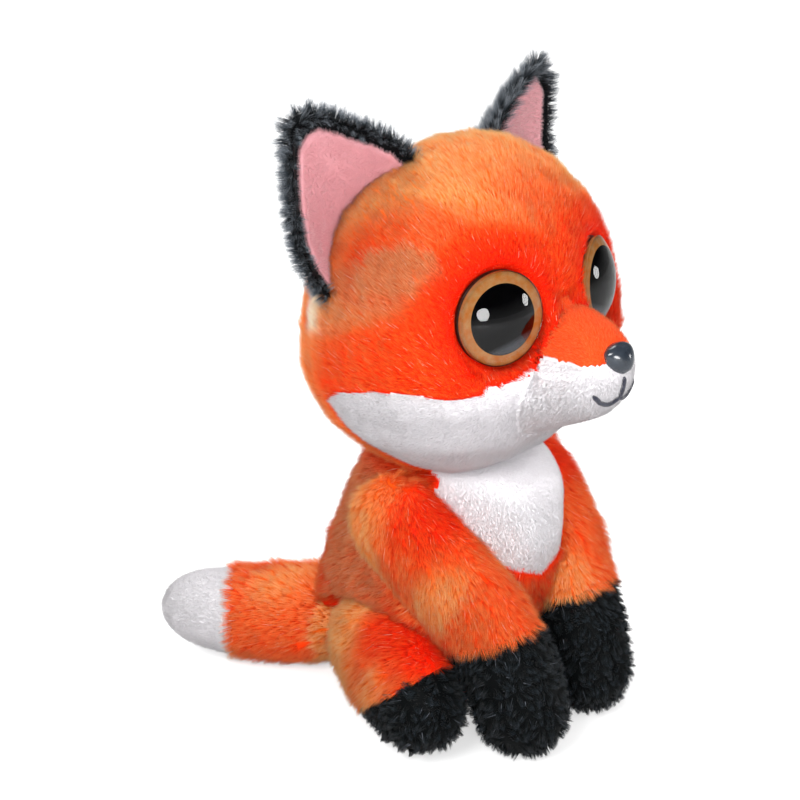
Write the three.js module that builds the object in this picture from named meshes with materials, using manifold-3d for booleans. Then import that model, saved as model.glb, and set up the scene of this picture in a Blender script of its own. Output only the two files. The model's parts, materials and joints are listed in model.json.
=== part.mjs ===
// A seated plush fox: fabric panels over fillings, with safety eyes and a plastic nose.
// Millimetres, +Z up. The fox looks along -Y and its own right side is at -X.
// The origin is on the ground, at the middle of the flat seat.
import * as THREE from 'three';
import { mergeVertices } from 'three/addons/utils/BufferGeometryUtils.js';
import Module from 'manifold-3d';

const wasm = await Module();
wasm.setup();

// Cloth, seams and clearances
const skinWall = 1.5;
const seam = 0.3;
const fillGap = 0.3;
const swing = 0.4;
const seatCut = 0.5;
const overrun = 40;
const shortOverrun = 5;
const rubSeat = 0.02;

// Head: a ball of three half sizes, round the pivot that it turns and nods on
const headMiddle = new THREE.Vector3(0, -8, 96);
const headHalfWidth = 37.2;
const headHalfDepth = 28.6;
const headBoxiness = 2.5;
const headHalfHeight = 37.5;
const headFullnessShares = [1, 1.08, 1.015, 0.965, 0.955];
const headSides = 18;
const headRings = 10;
const neckOpening = 17;

// Muzzle: a snout that runs forward from inside the head
const muzzleRoot = new THREE.Vector3(0, -18, 88.2);
const muzzleSpine = [
  muzzleRoot,
  new THREE.Vector3(0, -34, 88.5),
  new THREE.Vector3(0, -43, 89),
  new THREE.Vector3(0, -50.6, 89.6),
];
const muzzleHalfWidths = [13.6, 14.3, 12.8, 10.2];
const muzzleHalfHeights = [13.2, 13.6, 11.9, 9.2];
const muzzleTipCap = 8;
const muzzleSides = 14;
const muzzleRings = 8;
const muzzleZoneHalf = [
  new THREE.Vector2(0, 103),
  new THREE.Vector2(7.6, 101.6),
  new THREE.Vector2(12.4, 98),
  new THREE.Vector2(15, 92),
  new THREE.Vector2(15, 84),
  new THREE.Vector2(10.5, 75),
  new THREE.Vector2(0, 73),
];
const muzzleZoneBack = 22;
const muzzlePart = new THREE.Vector3(0, -43, 93.5);
const muzzlePartSlope = THREE.MathUtils.degToRad(12);

// Cheeks: their outline seen from the side, from the ear side to the snout
const cheekTail = new THREE.Vector2(1, 80.5);
const cheekTopMiddle = new THREE.Vector2(-19, 88);
const cheekTopFront = new THREE.Vector2(-31, 87);
const cheekNose = new THREE.Vector2(-60, 92);
const cheekChin = new THREE.Vector2(-60, 56);
const cheekBottomFront = new THREE.Vector2(-27, 58);
const cheekBottomMiddle = new THREE.Vector2(-14, 64);

// Ears: cupped leaves on a sloping base line
const earBase = new THREE.Vector3(23.4, 7.4, 118.2);
const earYaw = THREE.MathUtils.degToRad(12);
const earSlope = THREE.MathUtils.degToRad(40);
const earHalfBase = 17;
const earTilt = THREE.MathUtils.degToRad(16);
const earHeight = 29.5;
const earTipLean = 3;
const earRoot = 5.6;
const earCup = 12;
const earCupFadeShare = 0.6;
const earBackThick = 1.8;
const earLiningThick = 1.2;
const earLiningGap = 0.5;
const earSlotRoom = 0.8;
const earSlotDepth = 1.4;
const earLiningShare = 0.86;
const earWidthShares = [0.97, 1, 0.98, 0.86, 0.62, 0.3];
const earColumns = 6;
const earRows = 6;
const earSlotRows = 3;
const earFlop = THREE.MathUtils.degToRad(15);
const earSlotSteps = 1;

// Eyes: a domed lens over a glitter ring and a pupil, on a shank with a lock washer
const eyeSeat = new THREE.Vector3(16.2, -29, 101.7);
const eyeSplay = THREE.MathUtils.degToRad(20);
const eyeLift = THREE.MathUtils.degToRad(5);
const eyeRadius = 10;
const eyeCupThick = 1.2;
const eyeDiscThick = 0.5;
const eyeDomeRise = 3.4;
const eyeIrisRadius = 9.5;
const eyePupilRadius = 6.6;
const eyeSocketRadius = 16;
const eyeSocketRise = 3.4;
const shankRadius = 2.2;
const eyeShankLength = 8;
const washerRadius = 5.5;
const washerThick = 1.2;
const roundSegments = 16;
const outlineSteps = 18;
const roomSegments = 10;
const domeSteps = 5;

// Nose and mouth
const noseSeat = new THREE.Vector3(0, -48.8, 93.4);
const noseTilt = THREE.MathUtils.degToRad(42);
const noseRadius = 3.4;
const noseWidthShare = 1.15;
const noseRise = 3;
const noseShankLength = 6;
const threadRadius = 0.45;
const threadSides = 3;
const threadSteps = 10;
const mouthNoseGap = 0.8;
const mouthTop = noseSeat.z - noseRadius - mouthNoseGap;
const mouthDrop = 4.6;
const mouthMiddle = mouthTop - mouthDrop;
const mouthHalfWidth = 6;
const mouthDip = 1;
const mouthCorner = 0.9;
const mouthInnerShare = 0.35;
const mouthOuterShare = 0.7;
const mouthInnerDipShare = 0.6;

// Torso: a pear, wide at the seat and narrow at the neck
const torsoSpine = [
  new THREE.Vector3(0, 2, -seatCut),
  new THREE.Vector3(0, 0, 22),
  new THREE.Vector3(0, -7.6, 45),
  new THREE.Vector3(0, -11, 68),
];
const torsoHalfWidths = [24.8, 26.4, 25.8, 24.6, 22.6, 19.4];
const torsoHalfDepths = [24, 25.8, 25.8, 25.4, 24, 19.4];
const torsoBoxiness = 2.4;
const torsoSeatCap = 12;
const torsoNeckCap = 10;
const torsoSides = 18;
const torsoRings = 9;
const pouchTop = 15;
const seatPanelRadius = 18;
const plugRadius = 9;
const plugDepth = 6;

// Bib: its outline seen from the front
const bibHalfTop = 17.5;
const bibShoulder = 50;
const bibHip = 41.5;
const bibTip = 34.5;
const bibBack = 12;
const bibHipShare = 0.72;

// Front legs
const frontShoulder = new THREE.Vector3(21.4, -7.4, 51);
const frontRadius = 10.6;
const frontSpineBelow = [
  new THREE.Vector3(20.2, -16.4, 43.6),
  new THREE.Vector3(17.6, -23.8, 35.4),
  new THREE.Vector3(14.4, -29.7, 25.7),
  new THREE.Vector3(12.5, -34.8, 13),
  new THREE.Vector3(12.4, -36, -seatCut),
];
const frontHalfWidths = [10.6, 10.6, 10.5, 10.2, 10, 10, 9.8];
const frontHalfDepths = [10.6, 10.6, 10.5, 10.4, 11, 11.4, 10.8];
const frontPawCap = 8;
const frontLift = THREE.MathUtils.degToRad(40);
const frontWrist = new THREE.Vector3(14.2, -28.3, 27);
const frontWristSlope = THREE.MathUtils.degToRad(22);

// Hind legs
const hindHip = new THREE.Vector3(17.8, 0.5, 17);
const hindRadius = 12;
const hindSpineBelow = [
  new THREE.Vector3(23.4, -8, 14.8),
  new THREE.Vector3(27.8, -18, 12.4),
  new THREE.Vector3(31.2, -30, 10.6),
];
const hindHalfWidths = [12, 12.4, 11.5, 10.3, 9.7];
const hindHalfHeights = [12, 13.3, 12.7, 11.7, 10];
const hindPawCap = 10;
const hindSplay = THREE.MathUtils.degToRad(25);
const hindAnkle = new THREE.Vector3(28, -17, 16.4);
const hindAnkleSlope = THREE.MathUtils.degToRad(38);

// Tail: it lies on the ground and points backwards and to the fox's right
const tailPivot = new THREE.Vector3(-6.6, 21.5, 11.5);
const tailRadius = 10;
const tailSpineBelow = [
  new THREE.Vector3(-15, 30, 11.6),
  new THREE.Vector3(-25, 43, 11.8),
  new THREE.Vector3(-34, 59.3, 11.8),
];
const tailHalfWidths = [10, 11.6, 11.8, 10, 8.6];
const tailTipCap = 11;
const tailWag = THREE.MathUtils.degToRad(25);
const tailTipStart = 28.6;

// Every limb
const limbSides = 14;
const limbRings = 9;
const insideDetailShare = 0.6;
const sweepSides = 8;
const sweepRings = 7;
const sweepMargin = 1.6;
const shoulderMargin = 2.4;
const tailSweepMargin = 0.3;
const fillSweepSides = 6;
const fillSweepRings = 5;
const fillSweepMargin = 4;
const frontSweepSteps = 2;
const hindSweepSteps = 2;
const tailSweepSteps = 2;

const up = new THREE.Vector3(0, 0, 1);
const acrossX = new THREE.Vector3(1, 0, 0);
const alongY = new THREE.Vector3(0, 1, 0);

// Smooth value at a share of a list of evenly spaced stations
function stationValue(values, share) {
  const last = values.length - 1;
  const place = Math.min(Math.max(share, 0), 1) * last;
  const i = Math.min(Math.floor(place), last - 1);
  const f = place - i;
  const before = values[Math.max(i - 1, 0)];
  const after = values[Math.min(i + 2, last)];
  const bend = 2 * before - 5 * values[i] + 4 * values[i + 1] - after;
  const twist = -before + 3 * values[i] - 3 * values[i + 1] + after;
  return 0.5 * (2 * values[i] + (values[i + 1] - before) * f + bend * f * f + twist * f * f * f);
}

// Middle, directions and half sizes of a soft form's ring, at a distance along its spine
function softRing(form, distance, grow) {
  const length = form.curve.getLength();
  const share = Math.min(Math.max(distance / length, 0), 1);
  const middle = form.curve.getPointAt(share);
  const ahead = form.curve.getTangentAt(share);
  const past = distance - share * length;
  middle.addScaledVector(ahead, past);
  const side = form.side.clone().addScaledVector(ahead, -form.side.dot(ahead)).normalize();
  const third = new THREE.Vector3().crossVectors(ahead, side);
  const fromStart = Math.min((distance + grow) / (form.startCap + grow), 1);
  const fromEnd = Math.min((length + grow - distance) / (form.endCap + grow), 1);
  const roundStart = Math.sqrt(Math.max(1 - (1 - fromStart) ** 2, 0));
  const roundEnd = Math.sqrt(Math.max(1 - (1 - fromEnd) ** 2, 0));
  const round = roundStart * roundEnd;
  const halfWidth = (stationValue(form.halfWidths, share) + grow) * round;
  const halfHeight = (stationValue(form.halfHeights, share) + grow) * round;
  return { middle, side, third, halfWidth, halfHeight };
}

// A round section's sine or cosine, pushed towards a box where boxiness is over 2
function boxy(value, boxiness = 2) {
  return Math.sign(value) * Math.abs(value) ** (2 / boxiness);
}

// A closed form that swells and tapers along its spine; grow moves its whole surface outwards
function softForm(form, grow = 0) {
  const length = form.curve.getLength();
  const positions = [];
  const faces = [];
  const first = softRing(form, -grow, grow).middle;
  positions.push(first.x, first.y, first.z);
  for (let ring = 1; ring < form.rings; ring += 1) {
    const share = (1 - Math.cos(Math.PI * ring / form.rings)) / 2;
    const distance = -grow + (length + 2 * grow) * share;
    const { middle, side, third, halfWidth, halfHeight } = softRing(form, distance, grow);
    for (let step = 0; step < form.sides; step += 1) {
      const angle = 2 * Math.PI * step / form.sides;
      const point = middle.clone()
        .addScaledVector(side, halfWidth * boxy(Math.cos(angle), form.boxiness))
        .addScaledVector(third, halfHeight * boxy(Math.sin(angle), form.boxiness));
      positions.push(point.x, point.y, point.z);
    }
  }
  const last = softRing(form, length + grow, grow).middle;
  positions.push(last.x, last.y, last.z);
  const end = positions.length / 3 - 1;
  const at = (ring, step) => 1 + (ring - 1) * form.sides + step % form.sides;
  for (let step = 0; step < form.sides; step += 1) {
    faces.push(0, at(1, step + 1), at(1, step));
    faces.push(end, at(form.rings - 1, step), at(form.rings - 1, step + 1));
    for (let ring = 1; ring < form.rings - 1; ring += 1) {
      faces.push(at(ring, step), at(ring, step + 1), at(ring + 1, step));
      faces.push(at(ring, step + 1), at(ring + 1, step + 1), at(ring + 1, step));
    }
  }
  const geometry = new THREE.BufferGeometry();
  geometry.setAttribute('position', new THREE.Float32BufferAttribute(positions, 3));
  geometry.setIndex(faces);
  return geometry;
}

// Closed geometry to a solid, and back
function solid(geometry) {
  const bare = geometry.clone();
  bare.deleteAttribute('normal');
  bare.deleteAttribute('uv');
  const merged = mergeVertices(bare);
  return new wasm.Manifold(new wasm.Mesh({
    numProp: 3,
    vertProperties: new Float32Array(merged.attributes.position.array),
    triVerts: new Uint32Array(merged.index.array),
  }));
}

function geometryOf(body) {
  const mesh = body.getMesh();
  const geometry = new THREE.BufferGeometry();
  geometry.setAttribute('position', new THREE.Float32BufferAttribute(mesh.vertProperties, 3));
  geometry.setIndex(new THREE.Uint32BufferAttribute(mesh.triVerts, 1));
  return geometry;
}

const softSolid = (form, grow = 0) => solid(softForm(form, grow));

// The same form further in, with fewer facets
function insideSolid(form, depth) {
  const sides = 2 * Math.round(form.sides * insideDetailShare / 2);
  const rings = Math.round(form.rings * insideDetailShare);
  return softSolid({ ...form, sides, rings }, -depth);
}

// The fox's left side is at +X; the right side is its mirror image
function mirrored(geometry) {
  const flipped = geometry.clone();
  flipped.scale(-1, 1, 1);
  const order = flipped.index.array;
  for (let i = 0; i < order.length; i += 3) {
    [order[i + 1], order[i + 2]] = [order[i + 2], order[i + 1]];
  }
  return flipped;
}

function mirroredSolid(body) {
  return solid(mirrored(geometryOf(body)));
}

// A closed outline, made longer or shorter by a distance, as a prism along X or along Y
function outlineShape(points, distance) {
  const shape = points.map((point, i) => {
    const before = points[(i + points.length - 1) % points.length];
    const after = points[(i + 1) % points.length];
    const along = after.clone().sub(before).normalize();
    return new THREE.Vector2(point.x + along.y * distance, point.y - along.x * distance);
  });
  return new THREE.Shape(shape);
}

function roundedOutline(points, steps) {
  const loop = new THREE.CatmullRomCurve3(
    points.map((point) => new THREE.Vector3(point.x, point.y, 0)), true, 'centripetal');
  return loop.getPoints(steps).slice(0, steps).map((point) => new THREE.Vector2(point.x, point.y));
}

function prism(points, distance, start, end) {
  const settings = { depth: end - start, bevelEnabled: false };
  const geometry = new THREE.ExtrudeGeometry(outlineShape(points, distance), settings);
  geometry.translate(0, 0, start);
  return geometry;
}

function prismAlongX(points, distance, start, end) {
  const geometry = prism(points, distance, start, end);
  const turn = new THREE.Matrix4().makeBasis(alongY, up, acrossX);
  geometry.applyMatrix4(turn);
  return solid(geometry);
}

function prismAlongY(points, distance, start, end) {
  const geometry = prism(points, distance, -end, -start);
  geometry.rotateX(Math.PI / 2);
  return solid(geometry);
}

// A large block on one side of a plane, for cuts
function blockBeyond(point, direction) {
  const size = 4 * overrun;
  const geometry = new THREE.BoxGeometry(size, size, size);
  geometry.translate(0, 0, size / 2);
  geometry.applyQuaternion(new THREE.Quaternion().setFromUnitVectors(up, direction));
  geometry.translate(point.x, point.y, point.z);
  return solid(geometry);
}

const underGround = blockBeyond(new THREE.Vector3(0, 0, 0), up.clone().negate());
const onGround = (body) => body.subtract(underGround);

// A turned profile of [radius, height] points, aimed along a direction
function turned(profile, origin, direction, segments = roundSegments) {
  const points = profile.map(([radius, height]) => new THREE.Vector2(radius, height));
  const geometry = new THREE.LatheGeometry(points, segments);
  geometry.applyQuaternion(new THREE.Quaternion().setFromUnitVectors(alongY, direction));
  geometry.translate(origin.x, origin.y, origin.z);
  return geometry;
}

function rodSolid(radius, origin, direction, start, end, segments = roundSegments) {
  const profile = [[0, start], [radius, start], [radius, end], [0, end]];
  return solid(turned(profile, origin, direction, segments));
}

function ballSolid(radius, middle, width, height) {
  const geometry = new THREE.SphereGeometry(radius, width, height);
  geometry.rotateX(Math.PI / 2);
  geometry.translate(middle.x, middle.y, middle.z);
  return solid(geometry);
}

// All places of a body as it turns about an axis through a pivot, in one solid
function swept(body, pivot, axis, from, to, steps) {
  let whole = null;
  for (let step = 0; step <= steps; step += 1) {
    const angle = from + (to - from) * step / steps;
    const geometry = geometryOf(body);
    geometry.translate(-pivot.x, -pivot.y, -pivot.z);
    geometry.applyQuaternion(new THREE.Quaternion().setFromAxisAngle(axis, angle));
    geometry.translate(pivot.x, pivot.y, pivot.z);
    const placed = solid(geometry);
    whole = whole ? whole.add(placed) : placed;
  }
  return whole;
}

// A limb starts with half a ball round its pivot
function limbForm(pivot, radius, below, halfWidths, halfHeights, endCap, side) {
  const ahead = below[0].clone().sub(pivot).normalize();
  const start = pivot.clone().addScaledVector(ahead, -radius);
  return {
    curve: new THREE.CatmullRomCurve3([start, pivot, ...below], false, 'centripetal'),
    halfWidths,
    halfHeights,
    startCap: radius,
    endCap,
    side,
    sides: limbSides,
    rings: limbRings,
  };
}

const headForm = {
  curve: new THREE.CatmullRomCurve3([
    headMiddle.clone().addScaledVector(up, -headHalfHeight),
    headMiddle,
    headMiddle.clone().addScaledVector(up, headHalfHeight),
  ]),
  halfWidths: headFullnessShares.map((share) => share * headHalfWidth),
  halfHeights: headFullnessShares.map((share) => share * headHalfDepth),
  startCap: headHalfHeight,
  endCap: headHalfHeight,
  boxiness: headBoxiness,
  side: acrossX,
  sides: headSides,
  rings: headRings,
};
const muzzleForm = {
  curve: new THREE.CatmullRomCurve3(muzzleSpine, false, 'centripetal'),
  halfWidths: muzzleHalfWidths,
  halfHeights: muzzleHalfHeights,
  startCap: muzzleTipCap,
  endCap: muzzleTipCap,
  side: acrossX,
  sides: muzzleSides,
  rings: muzzleRings,
};
const torsoForm = {
  curve: new THREE.CatmullRomCurve3(torsoSpine, false, 'centripetal'),
  halfWidths: torsoHalfWidths,
  halfHeights: torsoHalfDepths,
  startCap: torsoSeatCap,
  endCap: torsoNeckCap,
  boxiness: torsoBoxiness,
  side: acrossX,
  sides: torsoSides,
  rings: torsoRings,
};
const frontForm = limbForm(
  frontShoulder, frontRadius, frontSpineBelow,
  frontHalfWidths, frontHalfDepths, frontPawCap, acrossX);
const hindForm = limbForm(
  hindHip, hindRadius, hindSpineBelow,
  hindHalfWidths, hindHalfHeights, hindPawCap, acrossX);
const tailForm = limbForm(
  tailPivot, tailRadius, tailSpineBelow,
  tailHalfWidths, tailHalfWidths, tailTipCap, acrossX);

// Where the moving limbs pass, with their running clearance; the tail follows its own facets
function limbCuts(margin, tailMargin, detail) {
  const room = (form) => softSolid({ ...form, ...detail }, swing + margin);
  const front = swept(room(frontForm), frontShoulder, acrossX, 0, -frontLift, frontSweepSteps);
  const hind = swept(room(hindForm), hindHip, up, 0, hindSplay, hindSweepSteps);
  const shoulderRoom = frontRadius + swing + Math.max(margin, shoulderMargin);
  const shoulder = ballSolid(shoulderRoom, frontShoulder, limbSides, limbRings);
  const pair = front.add(hind).add(shoulder);
  const behind = swept(
    softSolid(tailForm, swing + tailMargin), tailPivot, up, -tailWag, tailWag, tailSweepSteps);
  return pair.add(mirroredSolid(pair)).add(behind);
}
const headCut = ballSolid(
  headHalfHeight + swing + sweepMargin / 2, headMiddle, headSides, headSides / 2);

// Eye and nose places
function eyeAxis() {
  return new THREE.Vector3(
    Math.sin(eyeSplay) * Math.cos(eyeLift),
    -Math.cos(eyeSplay) * Math.cos(eyeLift),
    Math.sin(eyeLift));
}
const eyeOut = eyeAxis();
const noseOut = new THREE.Vector3(0, -Math.cos(noseTilt), Math.sin(noseTilt));
const cupTop = rubSeat + eyeCupThick;
const discStart = cupTop + seam;
const domeBack = discStart + eyeDiscThick + seam;

// The socket that the eye sits in, and the nose's flat; extra moves its wall outwards
function socketSolid(innerRadius, outerRadius, rise, origin, direction, extra, segments) {
  const profile = [
    [0, -extra],
    [innerRadius + extra, -extra],
    [outerRadius + extra, rise],
    [outerRadius + extra, overrun],
    [0, overrun],
  ];
  return solid(turned(profile, origin, direction, segments));
}
const eyeSocket = (extra, segments) => socketSolid(
  eyeRadius + seam, eyeSocketRadius, eyeSocketRise, eyeSeat, eyeOut, extra, segments);
const noseSocket = (extra, segments) => socketSolid(
  noseRadius * noseWidthShare + seam, noseRadius * noseWidthShare + skinWall, skinWall,
  noseSeat, noseOut, extra, segments);
const washerStart = -skinWall - seam - washerThick;
const eyeShankRoom = rodSolid(
  shankRadius + seam, eyeSeat, eyeOut, -eyeShankLength - seam, seam, roomSegments);
const eyeFillRoom = rodSolid(
  shankRadius + fillGap * 2, eyeSeat, eyeOut, -eyeShankLength - fillGap, 0, roomSegments);
const eyeWasherRoom = rodSolid(
  washerRadius + fillGap * 2, eyeSeat, eyeOut, washerStart - fillGap, 0, roomSegments);
const noseShankRoom = rodSolid(
  shankRadius + seam, noseSeat, noseOut, -noseShankLength - seam, seam, roomSegments);
const noseWasherSpace = rodSolid(
  noseRadius + seam, noseSeat, noseOut, washerStart - shortOverrun, -skinWall, roomSegments);
const eyeWasherSpace = rodSolid(
  washerRadius + seam, eyeSeat, eyeOut, washerStart - shortOverrun, -skinWall, roomSegments);
const noseWasherRoom = rodSolid(
  noseRadius + fillGap * 2, noseSeat, noseOut, washerStart - fillGap, 0, roomSegments);
const noseFillRoom = rodSolid(
  shankRadius + fillGap * 2, noseSeat, noseOut, -noseShankLength - fillGap, 0, roomSegments);

// Ear leaf: a cupped sheet between two depths behind its front face, in its own frame
function leaf(
  front, back, widthShare, heightShare, rootDepth, columns = earColumns, rows = earRows,
) {
  const positions = [];
  const faces = [];
  const point = (row, column, depth) => {
    const rise = row / rows;
    const place = 2 * column / columns - 1;
    const half = earHalfBase * widthShare * stationValue(earWidthShares, rise);
    const tall = earHeight * heightShare + rootDepth;
    const crown = Math.sqrt(Math.max(1 - place * place, 0));
    const dome = rise ** 2 * (1 - crown) * half / 2;
    const z = -rootDepth + tall * rise - dome;
    const earRise = (z + earRoot) / (earHeight + earRoot);
    const earHalf = earHalfBase * stationValue(earWidthShares, earRise);
    const cup = earCup * (place * half / earHalf) ** 2 * (1 - earRise * earCupFadeShare);
    positions.push(-place * half - earTipLean * earRise ** 2, -cup + depth, z);
  };
  for (const depth of [front, back]) {
    for (let row = 0; row <= rows; row += 1) {
      for (let column = 0; column <= columns; column += 1) {
        point(row, column, depth);
      }
    }
  }
  const wide = columns + 1;
  const sheet = wide * (rows + 1);
  const at = (row, column) => row * wide + column;
  const quad = (a, b, c, d) => faces.push(a, b, c, a, c, d);
  for (let row = 0; row < rows; row += 1) {
    for (let column = 0; column < columns; column += 1) {
      const a = at(row, column);
      const b = at(row, column + 1);
      const c = at(row + 1, column + 1);
      const d = at(row + 1, column);
      quad(a, d, c, b);
      quad(sheet + a, sheet + b, sheet + c, sheet + d);
    }
    quad(at(row, 0), sheet + at(row, 0), sheet + at(row + 1, 0), at(row + 1, 0));
    quad(
      at(row, columns), at(row + 1, columns),
      sheet + at(row + 1, columns), sheet + at(row, columns));
  }
  for (let column = 0; column < columns; column += 1) {
    quad(at(0, column), at(0, column + 1), sheet + at(0, column + 1), sheet + at(0, column));
    quad(
      at(rows, column), sheet + at(rows, column),
      sheet + at(rows, column + 1), at(rows, column + 1));
  }
  const geometry = new THREE.BufferGeometry();
  geometry.setAttribute('position', new THREE.Float32BufferAttribute(positions, 3));
  geometry.setIndex(faces);
  geometry.rotateX(earTilt);
  geometry.rotateY(earSlope);
  geometry.rotateZ(earYaw);
  geometry.translate(earBase.x, earBase.y, earBase.z);
  return solid(geometry);
}
const earAxis = new THREE.Vector3(
  Math.cos(earSlope) * Math.cos(earYaw), Math.cos(earSlope) * Math.sin(earYaw),
  -Math.sin(earSlope));
const earWhole = leaf(
  -earLiningThick - earLiningGap - earSlotRoom, earBackThick + earSlotRoom,
  1 + earSlotRoom / earHalfBase, 1, earRoot + earSlotDepth, earColumns, earSlotRows);
const earSlot = swept(earWhole, earBase, earAxis, -earFlop, earFlop, 2 * earSlotSteps);

// Head solids
const headOuter = softSolid(headForm).add(softSolid(muzzleForm));
const headInner = insideSolid(headForm, skinWall).add(insideSolid(muzzleForm, skinWall));
const headFill = insideSolid(headForm, skinWall + fillGap)
  .add(insideSolid(muzzleForm, skinWall + fillGap));
const neckHole = rodSolid(
  neckOpening, headMiddle, up.clone().negate(), headHalfHeight / 2, headHalfHeight * 2);
const withMirror = (body) => body.add(mirroredSolid(body));
const joined = (bodies) => bodies.reduce((all, one) => all.add(one));
const headSockets = (extra, segments) => withMirror(eyeSocket(extra, segments))
  .add(noseSocket(extra, segments));
const earSlots = withMirror(earSlot);
const headHoles = joined([
  neckHole, earSlots, headSockets(0, roundSegments),
  withMirror(eyeShankRoom), withMirror(eyeWasherSpace), noseShankRoom, noseWasherSpace,
]);
const headShell = headOuter
  .subtract(headInner.subtract(headSockets(skinWall, roomSegments)))
  .subtract(headHoles);
const headCore = headFill.subtract(joined([
  headSockets(skinWall + fillGap * 2, roomSegments), withMirror(eyeFillRoom),
  withMirror(eyeWasherRoom), noseFillRoom, noseWasherRoom, earSlots,
]));

// Head panels
const muzzleZoneLeft = muzzleZoneHalf.slice(1, -1).reverse()
  .map((point) => new THREE.Vector2(-point.x, point.y));
const muzzleOutline = roundedOutline(
  [...muzzleZoneHalf, ...muzzleZoneLeft].reverse(), outlineSteps);
const muzzleFront = muzzleSpine[muzzleSpine.length - 1].y - overrun;
const muzzleZone = prismAlongY(muzzleOutline, 0, muzzleFront, -muzzleZoneBack);
const muzzleZoneInside = prismAlongY(muzzleOutline, -seam, muzzleFront, -muzzleZoneBack);
const muzzlePartUp = new THREE.Vector3(0, -Math.sin(muzzlePartSlope), Math.cos(muzzlePartSlope));
const aboveMuzzlePart = blockBeyond(
  muzzlePart.clone().addScaledVector(muzzlePartUp, seam), muzzlePartUp);
const belowMuzzlePart = blockBeyond(muzzlePart, muzzlePartUp.clone().negate());
const cheekOutline = roundedOutline([
  cheekTail, cheekTopMiddle, cheekTopFront, cheekNose,
  cheekChin, cheekBottomFront, cheekBottomMiddle,
], outlineSteps);
const cheekZone = prismAlongX(cheekOutline, 0, -overrun * 2, overrun * 2);
const cheekInside = prismAlongX(cheekOutline, -seam, seam / 2, overrun * 2);
const muzzleShell = headShell.intersect(muzzleZoneInside);
const besideMuzzle = headShell.subtract(muzzleZone);
const cheek = besideMuzzle.intersect(cheekInside);

// Neck plug: between two spheres round the head's pivot, so that it lets the head nod
const plugTop = headHalfHeight - skinWall + seam;
const headPlugRoom = rodSolid(
  plugRadius + swing, headMiddle, up.clone().negate(), 0, plugTop + plugDepth + swing, roundSegments);
function neckPlug() {
  const profile = [];
  const lower = plugTop + plugDepth;
  const rim = Math.asin(plugRadius / lower);
  for (let step = 0; step <= domeSteps; step += 1) {
    const angle = rim * step / domeSteps;
    profile.push([lower * Math.sin(angle), lower * Math.cos(angle)]);
  }
  const inner = Math.asin(plugRadius / plugTop);
  for (let step = domeSteps; step >= 0; step -= 1) {
    const angle = inner * step / domeSteps;
    profile.push([plugTop * Math.sin(angle), plugTop * Math.cos(angle)]);
  }
  return turned(profile.reverse(), headMiddle, up.clone().negate());
}

// Torso solids and panels
const torsoCuts = limbCuts(
  sweepMargin, tailSweepMargin, { sides: sweepSides, rings: sweepRings }).add(headCut);
const fillCuts = limbCuts(
  fillSweepMargin, skinWall, { sides: fillSweepSides, rings: fillSweepRings }).add(headCut);
const torsoOuter = onGround(softSolid(torsoForm));
const torsoInner = insideSolid(torsoForm, skinWall).subtract(
  blockBeyond(new THREE.Vector3(0, 0, skinWall), up.clone().negate()));
const torsoFill = insideSolid(torsoForm, skinWall + fillGap).subtract(
  blockBeyond(new THREE.Vector3(0, 0, skinWall + fillGap), up.clone().negate()));
const torsoShell = torsoOuter.subtract(torsoInner).subtract(torsoCuts);
const bibTop = torsoSpine[torsoSpine.length - 1].z;
const bibPoints = [
  new THREE.Vector2(0, bibTip),
  new THREE.Vector2(bibHalfTop * bibHipShare, bibHip),
  new THREE.Vector2(bibHalfTop, bibShoulder),
  new THREE.Vector2(bibHalfTop, bibTop),
  new THREE.Vector2(-bibHalfTop, bibTop),
  new THREE.Vector2(-bibHalfTop, bibShoulder),
  new THREE.Vector2(-bibHalfTop * bibHipShare, bibHip),
];
const bibZone = prismAlongY(bibPoints, 0, -overrun, -bibBack);
const bibInside = prismAlongY(bibPoints, -seam, -overrun, -bibBack - seam);
const seatMiddle = new THREE.Vector3(0, torsoSpine[0].y, 0);
const seatPanelTop = skinWall + seatCut;
const seatZone = rodSolid(seatPanelRadius, seatMiddle, up, -overrun, seatPanelTop);
const seatInside = rodSolid(seatPanelRadius - seam, seatMiddle, up, -overrun, seatPanelTop);
const pouchTopPlace = new THREE.Vector3(0, 0, pouchTop);
const abovePouch = blockBeyond(pouchTopPlace.clone().addScaledVector(up, fillGap), up);
const belowPouch = blockBeyond(pouchTopPlace, up.clone().negate());
const torsoCore = torsoFill.subtract(fillCuts).subtract(headPlugRoom);

// Place on the cloth that is met from the front, at a distance across and up, lifted off it
const headCloth = new THREE.Mesh(geometryOf(headOuter), new THREE.MeshStandardMaterial());
headCloth.geometry.computeBoundingSphere();
const backwards = new THREE.Vector3(0, 1, 0);
function snoutPlace(x, z, lift) {
  const start = new THREE.Vector3(x, muzzleFront, z);
  const [met] = new THREE.Raycaster(start, backwards).intersectObject(headCloth);
  return met.point.clone().addScaledVector(met.face.normal, lift);
}

function thread(places) {
  const points = places.map(([x, z]) => snoutPlace(x, z, threadRadius + seam));
  const path = new THREE.CatmullRomCurve3(points, false, 'centripetal');
  const section = new THREE.Shape();
  section.absarc(0, 0, threadRadius, 0, 2 * Math.PI, false);
  const settings = {
    steps: threadSteps, curveSegments: threadSides, extrudePath: path, bevelEnabled: false,
  };
  return solid(new THREE.ExtrudeGeometry(section, settings));
}
function mouthLine() {
  const corner = mouthMiddle + mouthCorner;
  const half = [
    [mouthHalfWidth * mouthInnerShare, mouthMiddle - mouthDip * mouthInnerDipShare],
    [mouthHalfWidth * mouthOuterShare, mouthMiddle - mouthDip],
    [mouthHalfWidth, corner],
  ];
  const otherHalf = half.map(([x, z]) => [-x, z]).reverse();
  const smile = thread([...otherHalf, [0, mouthMiddle], ...half]);
  const line = thread([
    [0, mouthTop],
    [0, (mouthTop + mouthMiddle) / 2],
    [0, mouthMiddle],
  ]);
  return smile.add(line);
}

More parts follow.
